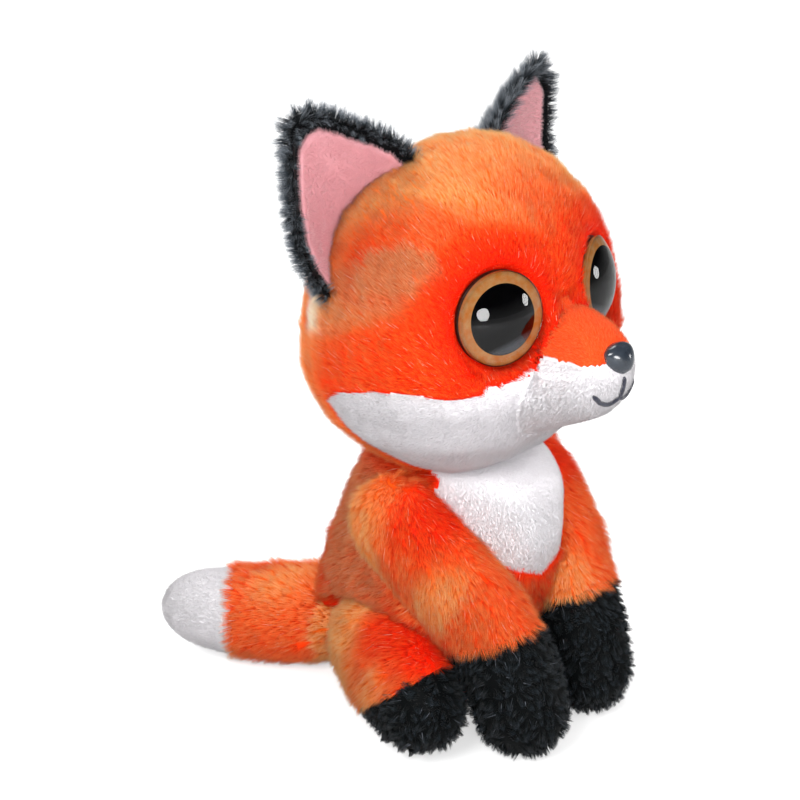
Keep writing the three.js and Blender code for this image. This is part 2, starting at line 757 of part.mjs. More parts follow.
// Turned eye and nose pieces
function domeProfile(radius, base, rise) {
  const profile = [[0, base]];
  for (let step = 0; step < domeSteps; step += 1) {
    const angle = Math.PI / 2 * step / domeSteps;
    profile.push([radius * Math.cos(angle), base + seam + rise * Math.sin(angle)]);
  }
  profile.splice(1, 0, [radius, base]);
  profile.push([0, base + seam + rise]);
  return profile;
}
const eyeCupProfile = [
  [0, -eyeShankLength],
  [shankRadius, -eyeShankLength],
  [shankRadius, rubSeat],
  [eyeRadius, rubSeat],
  [eyeRadius, cupTop],
  [0, cupTop],
];
const discProfile = (radius) => [
  [0, discStart], [radius, discStart], [radius, discStart + eyeDiscThick],
  [0, discStart + eyeDiscThick],
];
const ringProfile = (inner, outer, start, end) => [
  [inner, start], [outer, start], [outer, end], [inner, end], [inner, start],
];
const washerEnd = washerStart + washerThick;
const noseProfile = [
  [0, -noseShankLength],
  [shankRadius, -noseShankLength],
  [shankRadius, rubSeat],
  ...domeProfile(noseRadius, rubSeat, noseRise).slice(1),
];
function nosePiece() {
  const profile = noseProfile.map(([radius, height]) => new THREE.Vector2(radius, height));
  const geometry = new THREE.LatheGeometry(profile, roundSegments);
  const positions = geometry.attributes.position;
  for (let i = 0; i < positions.count; i += 1) {
    const wide = Math.hypot(positions.getX(i), positions.getZ(i)) > shankRadius + seam;
    if (wide) {
      positions.setX(i, positions.getX(i) * noseWidthShare);
    }
  }
  geometry.applyQuaternion(new THREE.Quaternion().setFromUnitVectors(alongY, noseOut));
  geometry.translate(noseSeat.x, noseSeat.y, noseSeat.z);
  return solid(geometry);
}

// Limb solids: a shell that is parted at the paw, and its filling
function limbPieces(form, partPoint, partDirection, neighbour = null) {
  const apart = (body) => (neighbour ? body.subtract(neighbour) : body);
  const outer = onGround(softSolid(form));
  const floorInside = blockBeyond(
    new THREE.Vector3(0, 0, skinWall), up.clone().negate());
  const floorFill = blockBeyond(
    new THREE.Vector3(0, 0, skinWall + fillGap), up.clone().negate());
  const shell = outer.subtract(insideSolid(form, skinWall).subtract(floorInside));
  const beyond = blockBeyond(partPoint, partDirection);
  const before = blockBeyond(
    partPoint.clone().addScaledVector(partDirection, -seam), partDirection.clone().negate());
  return {
    sleeve: apart(shell.intersect(before)),
    paw: apart(shell.intersect(beyond)),
    fill: apart(insideSolid(form, skinWall + fillGap).subtract(floorFill)),
  };
}
const wristDirection = new THREE.Vector3(
  0, -Math.sin(frontWristSlope), -Math.cos(frontWristSlope));
const ankleDirection = new THREE.Vector3(
  0, -Math.sin(hindAnkleSlope), -Math.cos(hindAnkleSlope));
const tailAhead = tailSpineBelow[1].clone().sub(tailPivot).setZ(0).normalize();
const tailPart = tailPivot.clone().addScaledVector(tailAhead, tailTipStart);
const frontLeg = limbPieces(frontForm, frontWrist, wristDirection);
const hindLeg = limbPieces(hindForm, hindAnkle, ankleDirection, softSolid(frontForm, seam));
const tail = limbPieces(tailForm, tailPart, tailAhead);

// Colours and finishes
function finish(color, roughness, extra = {}) {
  return new THREE.MeshStandardMaterial({ color, roughness, metalness: 0, ...extra });
}
const finishes = {
  orange: () => finish(0xf2601c, 0.9),
  white: () => finish(0xf2f0f1, 0.92),
  black: () => finish(0x1d2224, 0.95),
  pink: () => finish(0xeba9ac, 0.92),
  filling: () => finish(0xf6f6f4, 1),
  beans: () => finish(0xd9d6cc, 0.8),
  washer: () => finish(0xe4e2dc, 0.6),
  cup: () => finish(0x15110d, 0.4),
  glitter: () => finish(0xb9853c, 0.35),
  pupil: () => finish(0x050506, 0.1),
  lens: () => finish(0xffffff, 0.03, { transparent: true, opacity: 0.2 }),
  nose: () => finish(0x2c3238, 0.22),
  thread: () => finish(0x10141f, 0.8),
};

const fox = new THREE.Group();
function place(parent, name, geometry, look) {
  const mesh = new THREE.Mesh(geometry, finishes[look]());
  mesh.name = name;
  parent.add(mesh);
}
function placeSolid(parent, name, body, look) {
  place(parent, name, geometryOf(body), look);
}
function placePair(parent, name, body, look) {
  const geometry = geometryOf(body);
  place(parent, `${name}_left`, geometry, look);
  place(parent, `${name}_right`, mirrored(geometry), look);
}

const head = new THREE.Group();
fox.add(head);
placeSolid(head, 'head_skin', besideMuzzle.subtract(cheekZone), 'orange');
placePair(head, 'cheek', cheek, 'white');
placeSolid(head, 'muzzle_top', muzzleShell.intersect(aboveMuzzlePart), 'orange');
placeSolid(head, 'muzzle_lower', muzzleShell.intersect(belowMuzzlePart), 'white');
placeSolid(head, 'head_stuffing', headCore, 'filling');
placePair(head, 'ear_back', leaf(0, earBackThick, 1, 1, earRoot), 'black');
placePair(
  head, 'ear_lining',
  leaf(-earLiningThick - earLiningGap, -earLiningGap, earLiningShare, earLiningShare, earRoot), 'pink');
placePair(head, 'eye_cup', solid(turned(eyeCupProfile, eyeSeat, eyeOut)), 'cup');
placePair(
  head, 'eye_iris',
  solid(turned(
    ringProfile(eyePupilRadius + seam, eyeIrisRadius, discStart, discStart + eyeDiscThick),
    eyeSeat, eyeOut)), 'glitter');
placePair(head, 'eye_pupil', solid(turned(discProfile(eyePupilRadius), eyeSeat, eyeOut)), 'pupil');
placePair(
  head, 'eye_lens', solid(turned(domeProfile(eyeRadius, domeBack, eyeDomeRise), eyeSeat, eyeOut)),
  'lens');
placePair(
  head, 'eye_washer',
  solid(turned(
    ringProfile(shankRadius + seam, washerRadius, washerStart, washerEnd), eyeSeat, eyeOut)),
  'washer');
placeSolid(head, 'nose', nosePiece(), 'nose');
placeSolid(
  head, 'nose_washer',
  solid(turned(
    ringProfile(
      shankRadius + seam, noseRadius, -skinWall - seam - washerThick, -skinWall - seam),
    noseSeat, noseOut)), 'washer');
placeSolid(head, 'mouth_stitch', mouthLine(), 'thread');

const torso = new THREE.Group();
fox.add(torso);
placeSolid(
  torso, 'body_skin', torsoShell.subtract(bibZone).subtract(seatZone), 'orange');
placeSolid(torso, 'bib', torsoShell.intersect(bibInside), 'white');
placeSolid(torso, 'seat_panel', torsoShell.intersect(seatInside), 'orange');
placeSolid(torso, 'body_stuffing', torsoCore.intersect(abovePouch), 'filling');
placeSolid(torso, 'bean_pouch', torsoCore.intersect(belowPouch), 'beans');
place(torso, 'neck_stuffing', neckPlug(), 'filling');

const limbs = new THREE.Group();
fox.add(limbs);
placePair(limbs, 'front_sleeve', frontLeg.sleeve, 'orange');
placePair(limbs, 'front_paw', frontLeg.paw, 'black');
placePair(limbs, 'front_stuffing', frontLeg.fill, 'filling');
placePair(limbs, 'hind_sleeve', hindLeg.sleeve, 'orange');
placePair(limbs, 'hind_paw', hindLeg.paw, 'black');
placePair(limbs, 'hind_stuffing', hindLeg.fill, 'filling');
placeSolid(limbs, 'tail_sleeve', tail.sleeve, 'orange');
placeSolid(limbs, 'tail_tip', tail.paw, 'white');
placeSolid(limbs, 'tail_stuffing', tail.fill, 'filling');

export default fox;
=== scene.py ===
import json
import math
from collections import namedtuple

import bmesh
import bpy
import numpy as np
from mathutils import Matrix, Vector
from mathutils.bvhtree import BVHTree
from mathutils.kdtree import KDTree


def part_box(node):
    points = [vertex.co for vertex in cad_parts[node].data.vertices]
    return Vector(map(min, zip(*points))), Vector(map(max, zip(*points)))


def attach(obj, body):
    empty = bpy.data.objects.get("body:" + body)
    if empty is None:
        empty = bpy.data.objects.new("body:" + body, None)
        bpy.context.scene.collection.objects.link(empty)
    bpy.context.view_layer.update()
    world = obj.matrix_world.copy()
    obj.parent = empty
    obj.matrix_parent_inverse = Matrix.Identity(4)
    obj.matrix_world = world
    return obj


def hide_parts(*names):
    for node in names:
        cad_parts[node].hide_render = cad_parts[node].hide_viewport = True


# Plush fox sitting up: its covers, pile, eyes, nose and mouth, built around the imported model.
# Metres, +Z up, the fox faces -Y and its right side is -X. Sizes in mm are written as times MM.

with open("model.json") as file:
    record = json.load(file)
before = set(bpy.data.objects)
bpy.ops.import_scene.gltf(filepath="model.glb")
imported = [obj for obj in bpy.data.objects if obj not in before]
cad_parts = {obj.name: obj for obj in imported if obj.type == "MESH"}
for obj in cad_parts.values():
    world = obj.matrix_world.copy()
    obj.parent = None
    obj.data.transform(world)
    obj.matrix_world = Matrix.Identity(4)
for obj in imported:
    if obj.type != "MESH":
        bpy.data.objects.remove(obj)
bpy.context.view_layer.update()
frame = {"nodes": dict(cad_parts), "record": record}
NODES = frame["nodes"]

MM = 0.001
SIDES = ("left", "right")

# The camera stands where the photograph was taken from: its azimuth, elevation and distance.
CAMERA_PLACE = (-49, 21.5, 0.396)
CAMERA_TARGET = Vector((0, 0.011, 0.0682))
SENSOR_WIDTH = 36.0
FOCAL_LENGTH = 76.4
NEAREST_SEEN = 0.01

# Studio: lamps by azimuth, elevation, distance, disc size and watts, then the world's light and the floor.
LAMPS = {
    "key": (-75, 42, 0.8, 0.3, 4.3),
    "front": (-32, 9, 0.7, 0.22, 2.3),
    "side": (40, 10, 0.9, 0.2, 1.2),
    "back": (150, 50, 0.9, 0.5, 2.7),
}
WORLD_LIGHT = 0.94
DARK_ABOVE = 0.02
DARK_FROM = 0.3
GREY_BELOW = 0.3
FLOOR_SIZE = 12.0
FLOOR_SHADE = 0.55
FLOOR_GLOW = 0.6

# Covers: the cloth grid, how far the filling swells it, and the seams that hold it in.
GRID = 2.0 * MM
EAR_GRID = 0.8 * MM
ROUNDING_TURNS = 14
EAR_ROUNDING_TURNS = 4
SWELL_FRAMES = 20
SWELL_PRESSURE = 4.0
SWELL_CAP = 0.6 * MM
SEAM_REACH = 1.5 * MM
CLOTH_THICKNESS = 0.8 * MM
HIDDEN_REACH = 0.2 * MM
LINING_REACH = 1.3 * MM
GROUND_CLEARANCE = 0.05 * MM
BORDER_REACH = 1.5 * MM
HEAD_CLEARANCE = 0.8 * MM
LIMB_CLEARANCE = 0.3 * MM
SOCKET_LIP = 0.5 * MM
SOCKET_SLOPE = 1.9
SOCKET_DEPTH = 15.0 * MM
DEEPEST_HIDDEN = 8.0 * MM
SEAM_DEPTH = 0.35 * MM
SEAM_WIDTH = 1.6 * MM
CREASE_DEPTH = 1.5 * MM
CREASE_WIDTH = 2.0 * MM

# The bib's outline: its half width at heights from its tip to the neck, and how far back it reaches.
BIB_HEIGHTS = np.array((37.5, 43.0, 50.0, 58.0, 66.0)) * MM
BIB_HALF_WIDTHS = np.array((0.0, 12.0, 18.5, 18.0, 14.0)) * MM
BIB_BACK = -12.0 * MM

# The line between the muzzle's orange top and its white sides falls forward from the face.
MUZZLE_PART_HEIGHT = 92.7 * MM
MUZZLE_PART_FRONT = -43.0 * MM
MUZZLE_PART_SLOPE = 0.06

# Where the muzzle meets the face: its half widths at heights there, and how fast it spreads ahead.
MUZZLE_HEIGHTS = np.array((80.0, 84.0, 87.6, 92.0, 94.6, 96.9, 100.6)) * MM
MUZZLE_HALF_WIDTHS = np.array((24.0, 15.5, 12.3, 9.8, 7.6, 5.5, 1.5)) * MM
MUZZLE_FRONT = -36.0 * MM
MUZZLE_SPREAD = 2.0

# Each stuffed body: its skin nodes, and what lies inside them.
STUFFED = {
    "head": (["head_skin", "cheek_left", "cheek_right", "muzzle_top", "muzzle_lower"], ["head_stuffing"]),
    "torso": (["body_skin", "bib", "seat_panel"], ["body_stuffing", "bean_pouch"]),
    "neck": (["neck_stuffing"], []),
    "tail": (["tail_sleeve", "tail_tip"], ["tail_stuffing"]),
}
for side in SIDES:
    for end in ("front", "hind"):
        skins = [f"{end}_sleeve_{side}", f"{end}_paw_{side}"]
        STUFFED[f"{end}_leg_{side}"] = (skins, [f"{end}_stuffing_{side}"])

# Nodes that make room in the CAD for what moves or sits beside them, and are full in the cloth.
FILLED = {
    "head": (["head_skin", "cheek_left", "cheek_right"], ["muzzle_top", "muzzle_lower"]),
    "torso": (STUFFED["torso"][0] + STUFFED["torso"][1],),
}


def srgb(red, green, blue):
    """A colour given in 0 to 255 steps, as Blender's linear colour."""
    shares = np.array((red, green, blue)) / 255
    linear = np.where(shares <= 0.04045, shares / 12.92, ((shares + 0.055) / 1.055) ** 2.4)
    return (*[float(share) for share in linear], 1.0)


def grey(level):
    return (level, level, level, 1)


# Plain helpers for meshes

def link(name, data):
    piece = bpy.data.objects.new(name, data)
    bpy.context.scene.collection.objects.link(piece)
    return piece


def read(items, field, width=3, kind=np.float32):
    """One field of a mesh's items as an array, with a row for each item."""
    flat = np.empty(len(items) * width, kind)
    items.foreach_get(field, flat)
    return flat.reshape(-1, width)


def places_of(mesh):
    return read(mesh.vertices, "co").astype(float)


def set_places(mesh, places):
    mesh.vertices.foreach_set("co", places.astype(np.float32).ravel())
    mesh.update()


def mesh_of(made, name):
    """The finished mesh of a bmesh, which it frees."""
    mesh = bpy.data.meshes.new(name)
    made.to_mesh(mesh)
    made.free()
    return mesh


def shade_smooth(mesh):
    mesh.polygons.foreach_set("use_smooth", np.ones(len(mesh.polygons), bool))


def tree_of(mesh):
    return BVHTree.FromPolygons([v.co for v in mesh.vertices], [p.vertices for p in mesh.polygons])


def lengths(vectors):
    return np.linalg.norm(vectors, axis=-1)


def unit(vectors):
    return vectors / np.maximum(lengths(vectors)[..., None], 1e-12)


def settle(piece):
    """Puts the result of a piece's modifiers into its mesh."""
    graph = bpy.context.evaluated_depsgraph_get()
    mesh = bpy.data.meshes.new_from_object(piece.evaluated_get(graph))
    piece.modifiers.clear()
    piece.data = mesh


def modify(piece, kind, **settings):
    """Runs one modifier on a piece."""
    modifier = piece.modifiers.new(kind, kind)
    for key, value in settings.items():
        setattr(modifier, key, value)
    settle(piece)


def smooth_step(values, low, high):
    share = np.clip((values - low) / (high - low), 0, 1)
    return share * share * (3 - 2 * share)


def ripple(points, size, seed, waves=9):
    """A smooth value from about -1 to 1 that changes over the given size."""
    rng = np.random.default_rng(seed)
    total = np.zeros(len(points))
    for _ in range(waves):
        direction = rng.normal(size=3)
        direction *= rng.uniform(0.6, 1.5) * math.tau / (size * np.linalg.norm(direction))
        total += np.sin(points @ direction + rng.uniform(0, math.tau))
    return total / math.sqrt(waves)


def keep_largest(piece):
    """Removes every loose part of a mesh but the largest one."""
    made = bmesh.new()
    made.from_mesh(piece.data)
    left = set(made.verts)
    islands = []
    while left:
        island = [left.pop()]
        for vertex in island:
            near = {edge.other_vert(vertex) for edge in vertex.link_edges} & left
            left -= near
            island.extend(near)
        islands.append(island)
    for island in sorted(islands, key=len)[:-1]:
        bmesh.ops.delete(made, geom=island, context="VERTS")
    made.to_mesh(piece.data)
    made.free()


# Covers

NODE_TREES = {name: tree_of(node.data) for name, node in NODES.items()}


def distances_to(points, names):
    """How far each point is from each of the named CAD nodes: one row to a node."""
    points = [Vector(point) for point in points]
    rows = [[NODE_TREES[name].find_nearest(point)[3] for point in points] for name in names]
    return np.array(rows)


def lead_of(gaps):
    """How much nearer the nearest node is than the next one, at each point."""
    first, second = np.sort(gaps, axis=0)[:2]
    return second - first


def middle_of(name):
    low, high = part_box(name)
    return np.array((low + high) / 2)


def smoothed(piece, turns):
    """Smooths a piece, and gives its new places."""
    modify(piece, "SMOOTH", factor=0.5, iterations=turns)
    return places_of(piece.data)


def rounded_off(piece, turns):
    """Smooths a grid without shrinking it: what smoothing took away is itself smoothed, and put back."""
    before = places_of(piece.data)
    after = smoothed(piece, turns)
    set_places(piece.data, before - after)
    lost = smoothed(piece, turns)
    set_places(piece.data, after + lost)


def hull_of(nodes):
    """The tight full form round the named CAD nodes."""
    made = bmesh.new()
    for node in nodes:
        made.from_mesh(NODES[node].data)
    bmesh.ops.delete(made, geom=made.faces[:], context="FACES_ONLY")
    hull = bmesh.ops.convex_hull(made, input=made.verts)
    inner = [part for part in hull["geom_interior"] if isinstance(part, bmesh.types.BMVert)]
    bmesh.ops.delete(made, geom=inner, context="VERTS")
    return mesh_of(made, "hull")


def grid_cover(name, nodes, grid, filled=(), turns=ROUNDING_TURNS):
    """An even closed grid of faces round the named CAD nodes, their facets smoothed away.
    Each group of filled nodes is taken in its full form."""
    joined = bmesh.new()
    for node in nodes:
        joined.from_mesh(NODES[node].data)
    for group in filled:
        joined.from_mesh(hull_of(group))
    cover = link(name, mesh_of(joined, name))
    modify(cover, "REMESH", mode="VOXEL", voxel_size=grid)
    keep_largest(cover)
    rounded_off(cover, turns)
    return cover


def make_room(cover, head_pivot, head_reach, others):
    """Keeps the full torso clear of the head's ball, and of the limbs and tail at its sides."""
    places = places_of(cover.data)
    middle = middle_of("body_stuffing")
    for index, place in enumerate(places):
        start = Vector((*middle[:2], place[2]))
        way = Vector(place) - start
        reach = way.length
        way.normalize()
        for tree in others:
            gap = tree.ray_cast(start, way)[3]
            if gap is not None:
                reach = min(reach, gap - LIMB_CLEARANCE)
        places[index] = start + way * reach
    away = places - np.array(head_pivot)
    gap = lengths(away)[:, None]
    places += away / gap * np.maximum(head_reach - gap, 0)
    set_places(cover.data, places)


def seat_fittings(points):
    """Points of the head's cover, drawn back behind the eyes where they sit in their sockets."""
    for eye in EYES:
        local = eye.local(points)
        radius = lengths(local[:, :2])
        limit = eye.back + np.maximum(radius - eye.radius - SOCKET_LIP, 0) * SOCKET_SLOPE
        ahead = local[:, 2] > -SOCKET_DEPTH
        local[ahead, 2] = np.minimum(local[ahead, 2], limit[ahead])
        points = local @ eye.turn.T + eye.middle
    return points


def snout_reach(points, gaps, skins):
    """How far each point is inside the muzzle's seam with the face: less than 0 outside it."""
    snout = [index for index, skin in enumerate(skins) if skin.startswith("muzzle")]
    nearer = np.delete(gaps, snout, axis=0).min(axis=0) - gaps[snout].min(axis=0)
    half = np.interp(points[:, 2], MUZZLE_HEIGHTS, MUZZLE_HALF_WIDTHS)
    half += MUZZLE_SPREAD * np.maximum(MUZZLE_FRONT - points[:, 1], 0)
    return np.minimum(nearer, half - np.abs(points[:, 0]))


def draw_seams(cover, skins):
    """Draws the cover in along the seams between its panels, and further round the muzzle."""
    places, normals = surface_of(cover.data)[:2]
    gaps = distances_to(places, skins)
    seam = SEAM_DEPTH * np.exp(-((lead_of(gaps) / SEAM_WIDTH) ** 2))
    crease = CREASE_DEPTH * np.exp(-((snout_reach(places, gaps, skins) / CREASE_WIDTH) ** 2))
    crease *= smooth_step(places[:, 2], MUZZLE_HEIGHTS[0], MUZZLE_HEIGHTS[3])
    set_places(cover.data, places - normals * np.maximum(seam, crease)[:, None])


def held_in(cover, skins):
    """The vertices that a seam, an eye, the nose or an ear holds in place."""
    places = places_of(cover.data)
    held = np.zeros(len(places), bool)
    if len(skins) > 1:
        held |= np.sort(distances_to(places, skins), axis=0)[1] < SEAM_REACH
    if cover.name.startswith("head"):
        fittings = [f"{part}_{side}" for part in ("eye_cup", "ear_back") for side in SIDES]
        held |= distances_to(places, [*fittings, "nose"]).min(axis=0) < SEAM_REACH
    return held | (places[:, 2] < MM)


def swell(covers):
    """Lets the filling press the covers out, by Blender's cloth, between the places that hold them in."""
    scene = bpy.context.scene
    for cover, skins in covers:
        pinned = cover.vertex_groups.new(name="held")
        pinned.add(np.flatnonzero(held_in(cover, skins)).tolist(), 1.0, "REPLACE")
        cloth = cover.modifiers.new("cloth", "CLOTH")
        cloth.settings.use_pressure = True
        cloth.settings.uniform_pressure_force = SWELL_PRESSURE
        cloth.settings.vertex_group_mass = "held"
        cloth.settings.effector_weights.gravity = 0
        cloth.point_cache.frame_start = 1
        cloth.point_cache.frame_end = SWELL_FRAMES
    for step in range(1, SWELL_FRAMES + 1):
        scene.frame_set(step)
    for cover, skins in covers:
        rest = places_of(cover.data)
        settle(cover)
        move = places_of(cover.data) - rest
        move *= np.minimum(1, SWELL_CAP / np.maximum(lengths(move), 1e-9))[:, None]
        set_places(cover.data, rest + move)
        cover.vertex_groups.clear()
    scene.frame_set(1)


def finish_grid(cover):
    """Halves the grid once, and keeps the cover off the ground."""
    modify(cover, "SUBSURF", levels=1)
    places = places_of(cover.data)
    places[:, 2] = np.maximum(places[:, 2], GROUND_CLEARANCE)
    set_places(cover.data, places)


def surface_of(mesh):
    """A mesh as arrays: its places, vertex normals, triangles and each triangle's face."""
    mesh.calc_loop_triangles()
    normals = read(mesh.vertex_normals, "vector").astype(float)
    triangles = read(mesh.loop_triangles, "vertices", kind=np.int32)
    faces = read(mesh.loop_triangles, "polygon_index", 1, np.int32)[:, 0]
    return places_of(mesh), normals, triangles, faces


def panel(name, cover, chosen):
    """The chosen faces of a cover as a cloth panel with a thickness of its own."""
    made = bmesh.new()
    made.from_mesh(cover.data)
    made.faces.ensure_lookup_table()
    others = [face for face, keep in zip(made.faces, chosen) if not keep]
    bmesh.ops.delete(made, geom=others, context="FACES")
    piece = link(name, mesh_of(made, name))
    if not chosen.all():
        modify(piece, "SOLIDIFY", thickness=CLOTH_THICKNESS, offset=-1)
    shade_smooth(piece.data)
    return piece


# Pile. Lengths, widths and tufts are in mm, density to a square mm, lean in degrees, the rest in shares.

PILE_TRAITS = "length lean width density tuft gather frizz swirl sway uneven"
Pile = namedtuple("Pile", PILE_TRAITS, defaults=(0.2, 0.15, 0.2))

PER_SQUARE_MM = 1 / MM**2
PILES = {
    "face": Pile(2.5, 62, 0.09, 19, 1.0, 0.3, 0.12),
    "orange": Pile(3.3, 60, 0.09, 18, 1.3, 0.4, 0.14),
    "white": Pile(1.7, 66, 0.14, 22, 1.1, 0.15, 0.09, 0.1, 0.05),
    "snout": Pile(1.1, 68, 0.12, 28, 0.8, 0.1, 0.07, 0.1, 0.05),
    "short": Pile(1.2, 60, 0.14, 16, 0.8, 0.2, 0.12, 0.1, 0.05),
    "black": Pile(2.2, 45, 0.15, 9, 1.6, 0.75, 0.3, swirl=1.2),
    "ear": Pile(3.6, 46, 0.12, 14, 1.2, 0.55, 0.22, swirl=0.4),
    "pink": Pile(1.0, 55, 0.13, 13, 0.9, 0.3, 0.16),
}
STRANDS_TO_A_PIECE = 49_000
ROOT_DEPTH = 0.2 * MM
STRAND_THICKNESS = 0.7
STRAND_FACES = np.array(((0, 1, 3), (1, 2, 3), (2, 0, 3), (2, 1, 0)))

# The lie parts at the middle and round the eyes, where strands are short. A downward underside is bare.
PARTING = 12.0 * MM
EYE_REACH = 4.0 * MM
EYE_PARTING = 1.5
SHORTEST = 0.45
UNDERSIDE = 0.6 * MM
DOWNWARD = -0.5
WIDTH_SHARES = (0.7, 1.3)


def in_metres(pile):
    """A pile with its sizes in metres and its lean in radians."""
    sizes = {size: getattr(pile, size) * MM for size in ("length", "width", "tuft")}
    return pile._replace(lean=math.radians(pile.lean), density=pile.density * PER_SQUARE_MM, **sizes)


def scatter(surface, chosen, density, rng):
    """Even random roots on the chosen faces: their places, normals and faces."""
    places, normals, triangles, faces = surface
    triangles = triangles[chosen[faces]]
    corners = places[triangles]
    edges = corners[:, 1:] - corners[:, :1]
    areas = lengths(np.cross(edges[:, 0], edges[:, 1])) / 2
    reach = np.cumsum(areas)
    count = int(reach[-1] * density)
    where = (np.arange(count) + rng.random(count)) / count * reach[-1]
    picked = np.minimum(np.searchsorted(reach, where), len(areas) - 1)
    first, second = rng.random((2, count))
    over = first + second > 1
    first[over], second[over] = 1 - first[over], 1 - second[over]
    weights = np.stack((1 - first - second, first, second), axis=1)[:, :, None]
    roots = (corners[picked] * weights).sum(axis=1)
    return roots, unit((normals[triangles[picked]] * weights).sum(axis=1)), faces[chosen[faces]][picked]


def tufts_of(roots, pile, area, rng):
    """For each root, the index of the root that its tuft gathers round."""
    count = max(1, int(area / pile.tuft**2))
    middles = rng.choice(len(roots), min(count, len(roots)), replace=False)
    tree = KDTree(len(middles))
    for index, middle in enumerate(middles):
        tree.insert(roots[middle], index)
    tree.balance()
    return middles[[tree.find(root)[1] for root in roots]]


def strand_lines(roots, normals, pile, nap, scale, rng):
    """Root to tip vectors of the strands: laid along the nap, swirled, frizzed and gathered in tufts."""
    along = unit(nap - normals * (nap * normals).sum(axis=1, keepdims=True))
    across = np.cross(normals, along)
    turn = pile.swirl * ripple(roots, 4 * pile.tuft, 3)[:, None]
    flow = along * np.cos(turn) + across * np.sin(turn)
    lean = pile.lean * (1 + pile.sway * ripple(roots, 5 * pile.tuft, 4)[:, None])
    direction = normals * np.cos(lean) + flow * np.sin(lean)
    direction = unit(direction + pile.frizz * rng.normal(size=roots.shape))
    length = pile.length * scale * (1 + pile.uneven * rng.uniform(-1, 1, len(roots)))
    area = len(roots) / pile.density
    leader = tufts_of(roots, pile, area, rng)
    tips = roots + direction * length[:, None]
    gathered = tips + (tips[leader] - tips) * pile.gather
    return gathered - roots


def strand_mesh(name, roots, normals, lines, width, traits):
    """Closed three-sided strands, broad side out, tapered to a point, with what their material reads."""
    count = len(roots)
    ways = unit(lines)
    side = unit(np.cross(ways, normals) + 1e-6)
    under = np.cross(ways, side)
    sunk = roots - normals * ROOT_DEPTH
    half = width[:, None] / 2
    places = np.empty((count, 4, 3))
    places[:, 0] = sunk + side * half
    places[:, 1] = sunk + under * half * STRAND_THICKNESS
    places[:, 2] = sunk - side * half
    places[:, 3] = roots + lines
    places[:, :, 2] = np.maximum(places[:, :, 2], GROUND_CLEARANCE)
    corners = (STRAND_FACES[None] + 4 * np.arange(count)[:, None, None]).reshape(-1)
    mesh = bpy.data.meshes.new(name)
    mesh.vertices.add(count * 4)
    mesh.vertices.foreach_set("co", places.astype(np.float32).ravel())
    mesh.loops.add(len(corners))
    mesh.loops.foreach_set("vertex_index", corners.astype(np.int32))
    mesh.polygons.add(count * 4)
    mesh.polygons.foreach_set("loop_start", np.arange(0, len(corners), 3, dtype=np.int32))
    shade_smooth(mesh)
    mesh.update(calc_edges=True)
    write_trait(mesh, "along", np.tile((0.0, 0.0, 0.0, 1.0), count))
    for trait, values in traits.items():
        write_trait(mesh, trait, np.repeat(values, 4))
    write_strand_map(mesh, count)
    return mesh


def write_trait(mesh, name, values):
    mesh.attributes.new(name, "FLOAT", "POINT").data.foreach_set("value", values.astype(np.float32))


def write_strand_map(mesh, count):
    """A square of the map for each strand, where its colours can be baked."""
    columns = math.ceil(math.sqrt(count))
    cell = np.stack((np.arange(count) % columns, np.arange(count) // columns), axis=1)
    spots = np.array(((0.1, 0.1), (0.5, 0.1), (0.9, 0.1), (0.5, 0.9)))
    uv = (cell[:, None, None, :] + spots[STRAND_FACES][None]) / columns
    mesh.uv_layers.new(name="OFBake").data.foreach_set("uv", uv.astype(np.float32).ravel())


# Colours of the coat

# Marks on the right side, mirrored to the left: both ends, the radius and the soft edge in mm, and a seed.
TEMPLE = ((-35, 0, 102), (-31.5, -15, 108.5), 6.5, 2.0, 11)
TEMPLE_FRONT = ((-32.5, -11, 109.5), (-29, -18.5, 111.5), 5.0, 1.2, 16)
PALE_SPOT = ((-35, 4, 97), (-34, 5, 102), 2.6, 1.2, 12)
FLANK = ((-24, 3, 34), (-20, 6, 54), 11, 4, 21)
# Painted shade on the shoulder and the thigh.
SHOULDER_SHADE = ((-19, -19, 60), (-23, -16, 54), 7, 5, 33)
THIGH_SHADE = ((-27, -12, 26), (-27, -19, 22), 7, 5, 34)
MARK_WAVE = 0.8 * MM


def capsule(points, start, end, radius, soft, seed):
    """1 inside a rounded bar between two points in mm, fading to 0 outside it, with an uneven edge."""
    start, end = np.array(start) * MM, np.array(end) * MM
    span = end - start
    share = np.clip(((points - start) @ span) / max(span @ span, 1e-12), 0, 1)
    gap = lengths(points - start - share[:, None] * span)
    gap = gap + MARK_WAVE * ripple(points, 5 * MM, seed)
    return 1 - smooth_step(gap, (radius - soft) * MM, (radius + soft) * MM)


def on_right(points):
    """The points, those of the left half mirrored to the fox's right side."""
    return np.stack((-np.abs(points[:, 0]), points[:, 1], points[:, 2]), axis=1)


def head_marks(points):
    """Brown and pale shares of the head's coat, painted light that makes it lighter on top, towards the
    back and in streaks, and painted shade in darker red round the eyes.
    """
    right = on_right(points)
    brown = 0.6 * capsule(right, *TEMPLE)
    brown = np.maximum(brown, 0.9 * capsule(right, *TEMPLE_FRONT))
    pale = capsule(right, *PALE_SPOT)
    # Painted light: lighter on top of the head, towards its back and in streaks.
    top = smooth_step(points[:, 2] + 5 * MM * ripple(points, 26 * MM, 13), 112 * MM, 133 * MM)
    rear = smooth_step(points[:, 1] + 4 * MM * ripple(points, 20 * MM, 15), -14 * MM, 6 * MM)
    streak = smooth_step(ripple(points * np.array((1, 1, 2.2)), 34 * MM, 14), 0.35, 1.3)
    # Painted shade: darker red near the eyes.
    eyes = np.min([eye.gaps(points) for eye in EYES], axis=0)
    painted_shade = 1 - smooth_step(eyes, EYES[0].radius, EYES[0].radius + 10 * MM)
    light = np.clip(0.9 * top + 0.6 * rear + 0.4 * streak - painted_shade, 0, 1)
    return {"tint": brown, "light": np.maximum(light, pale), "pale": pale, "painted_shade": painted_shade}


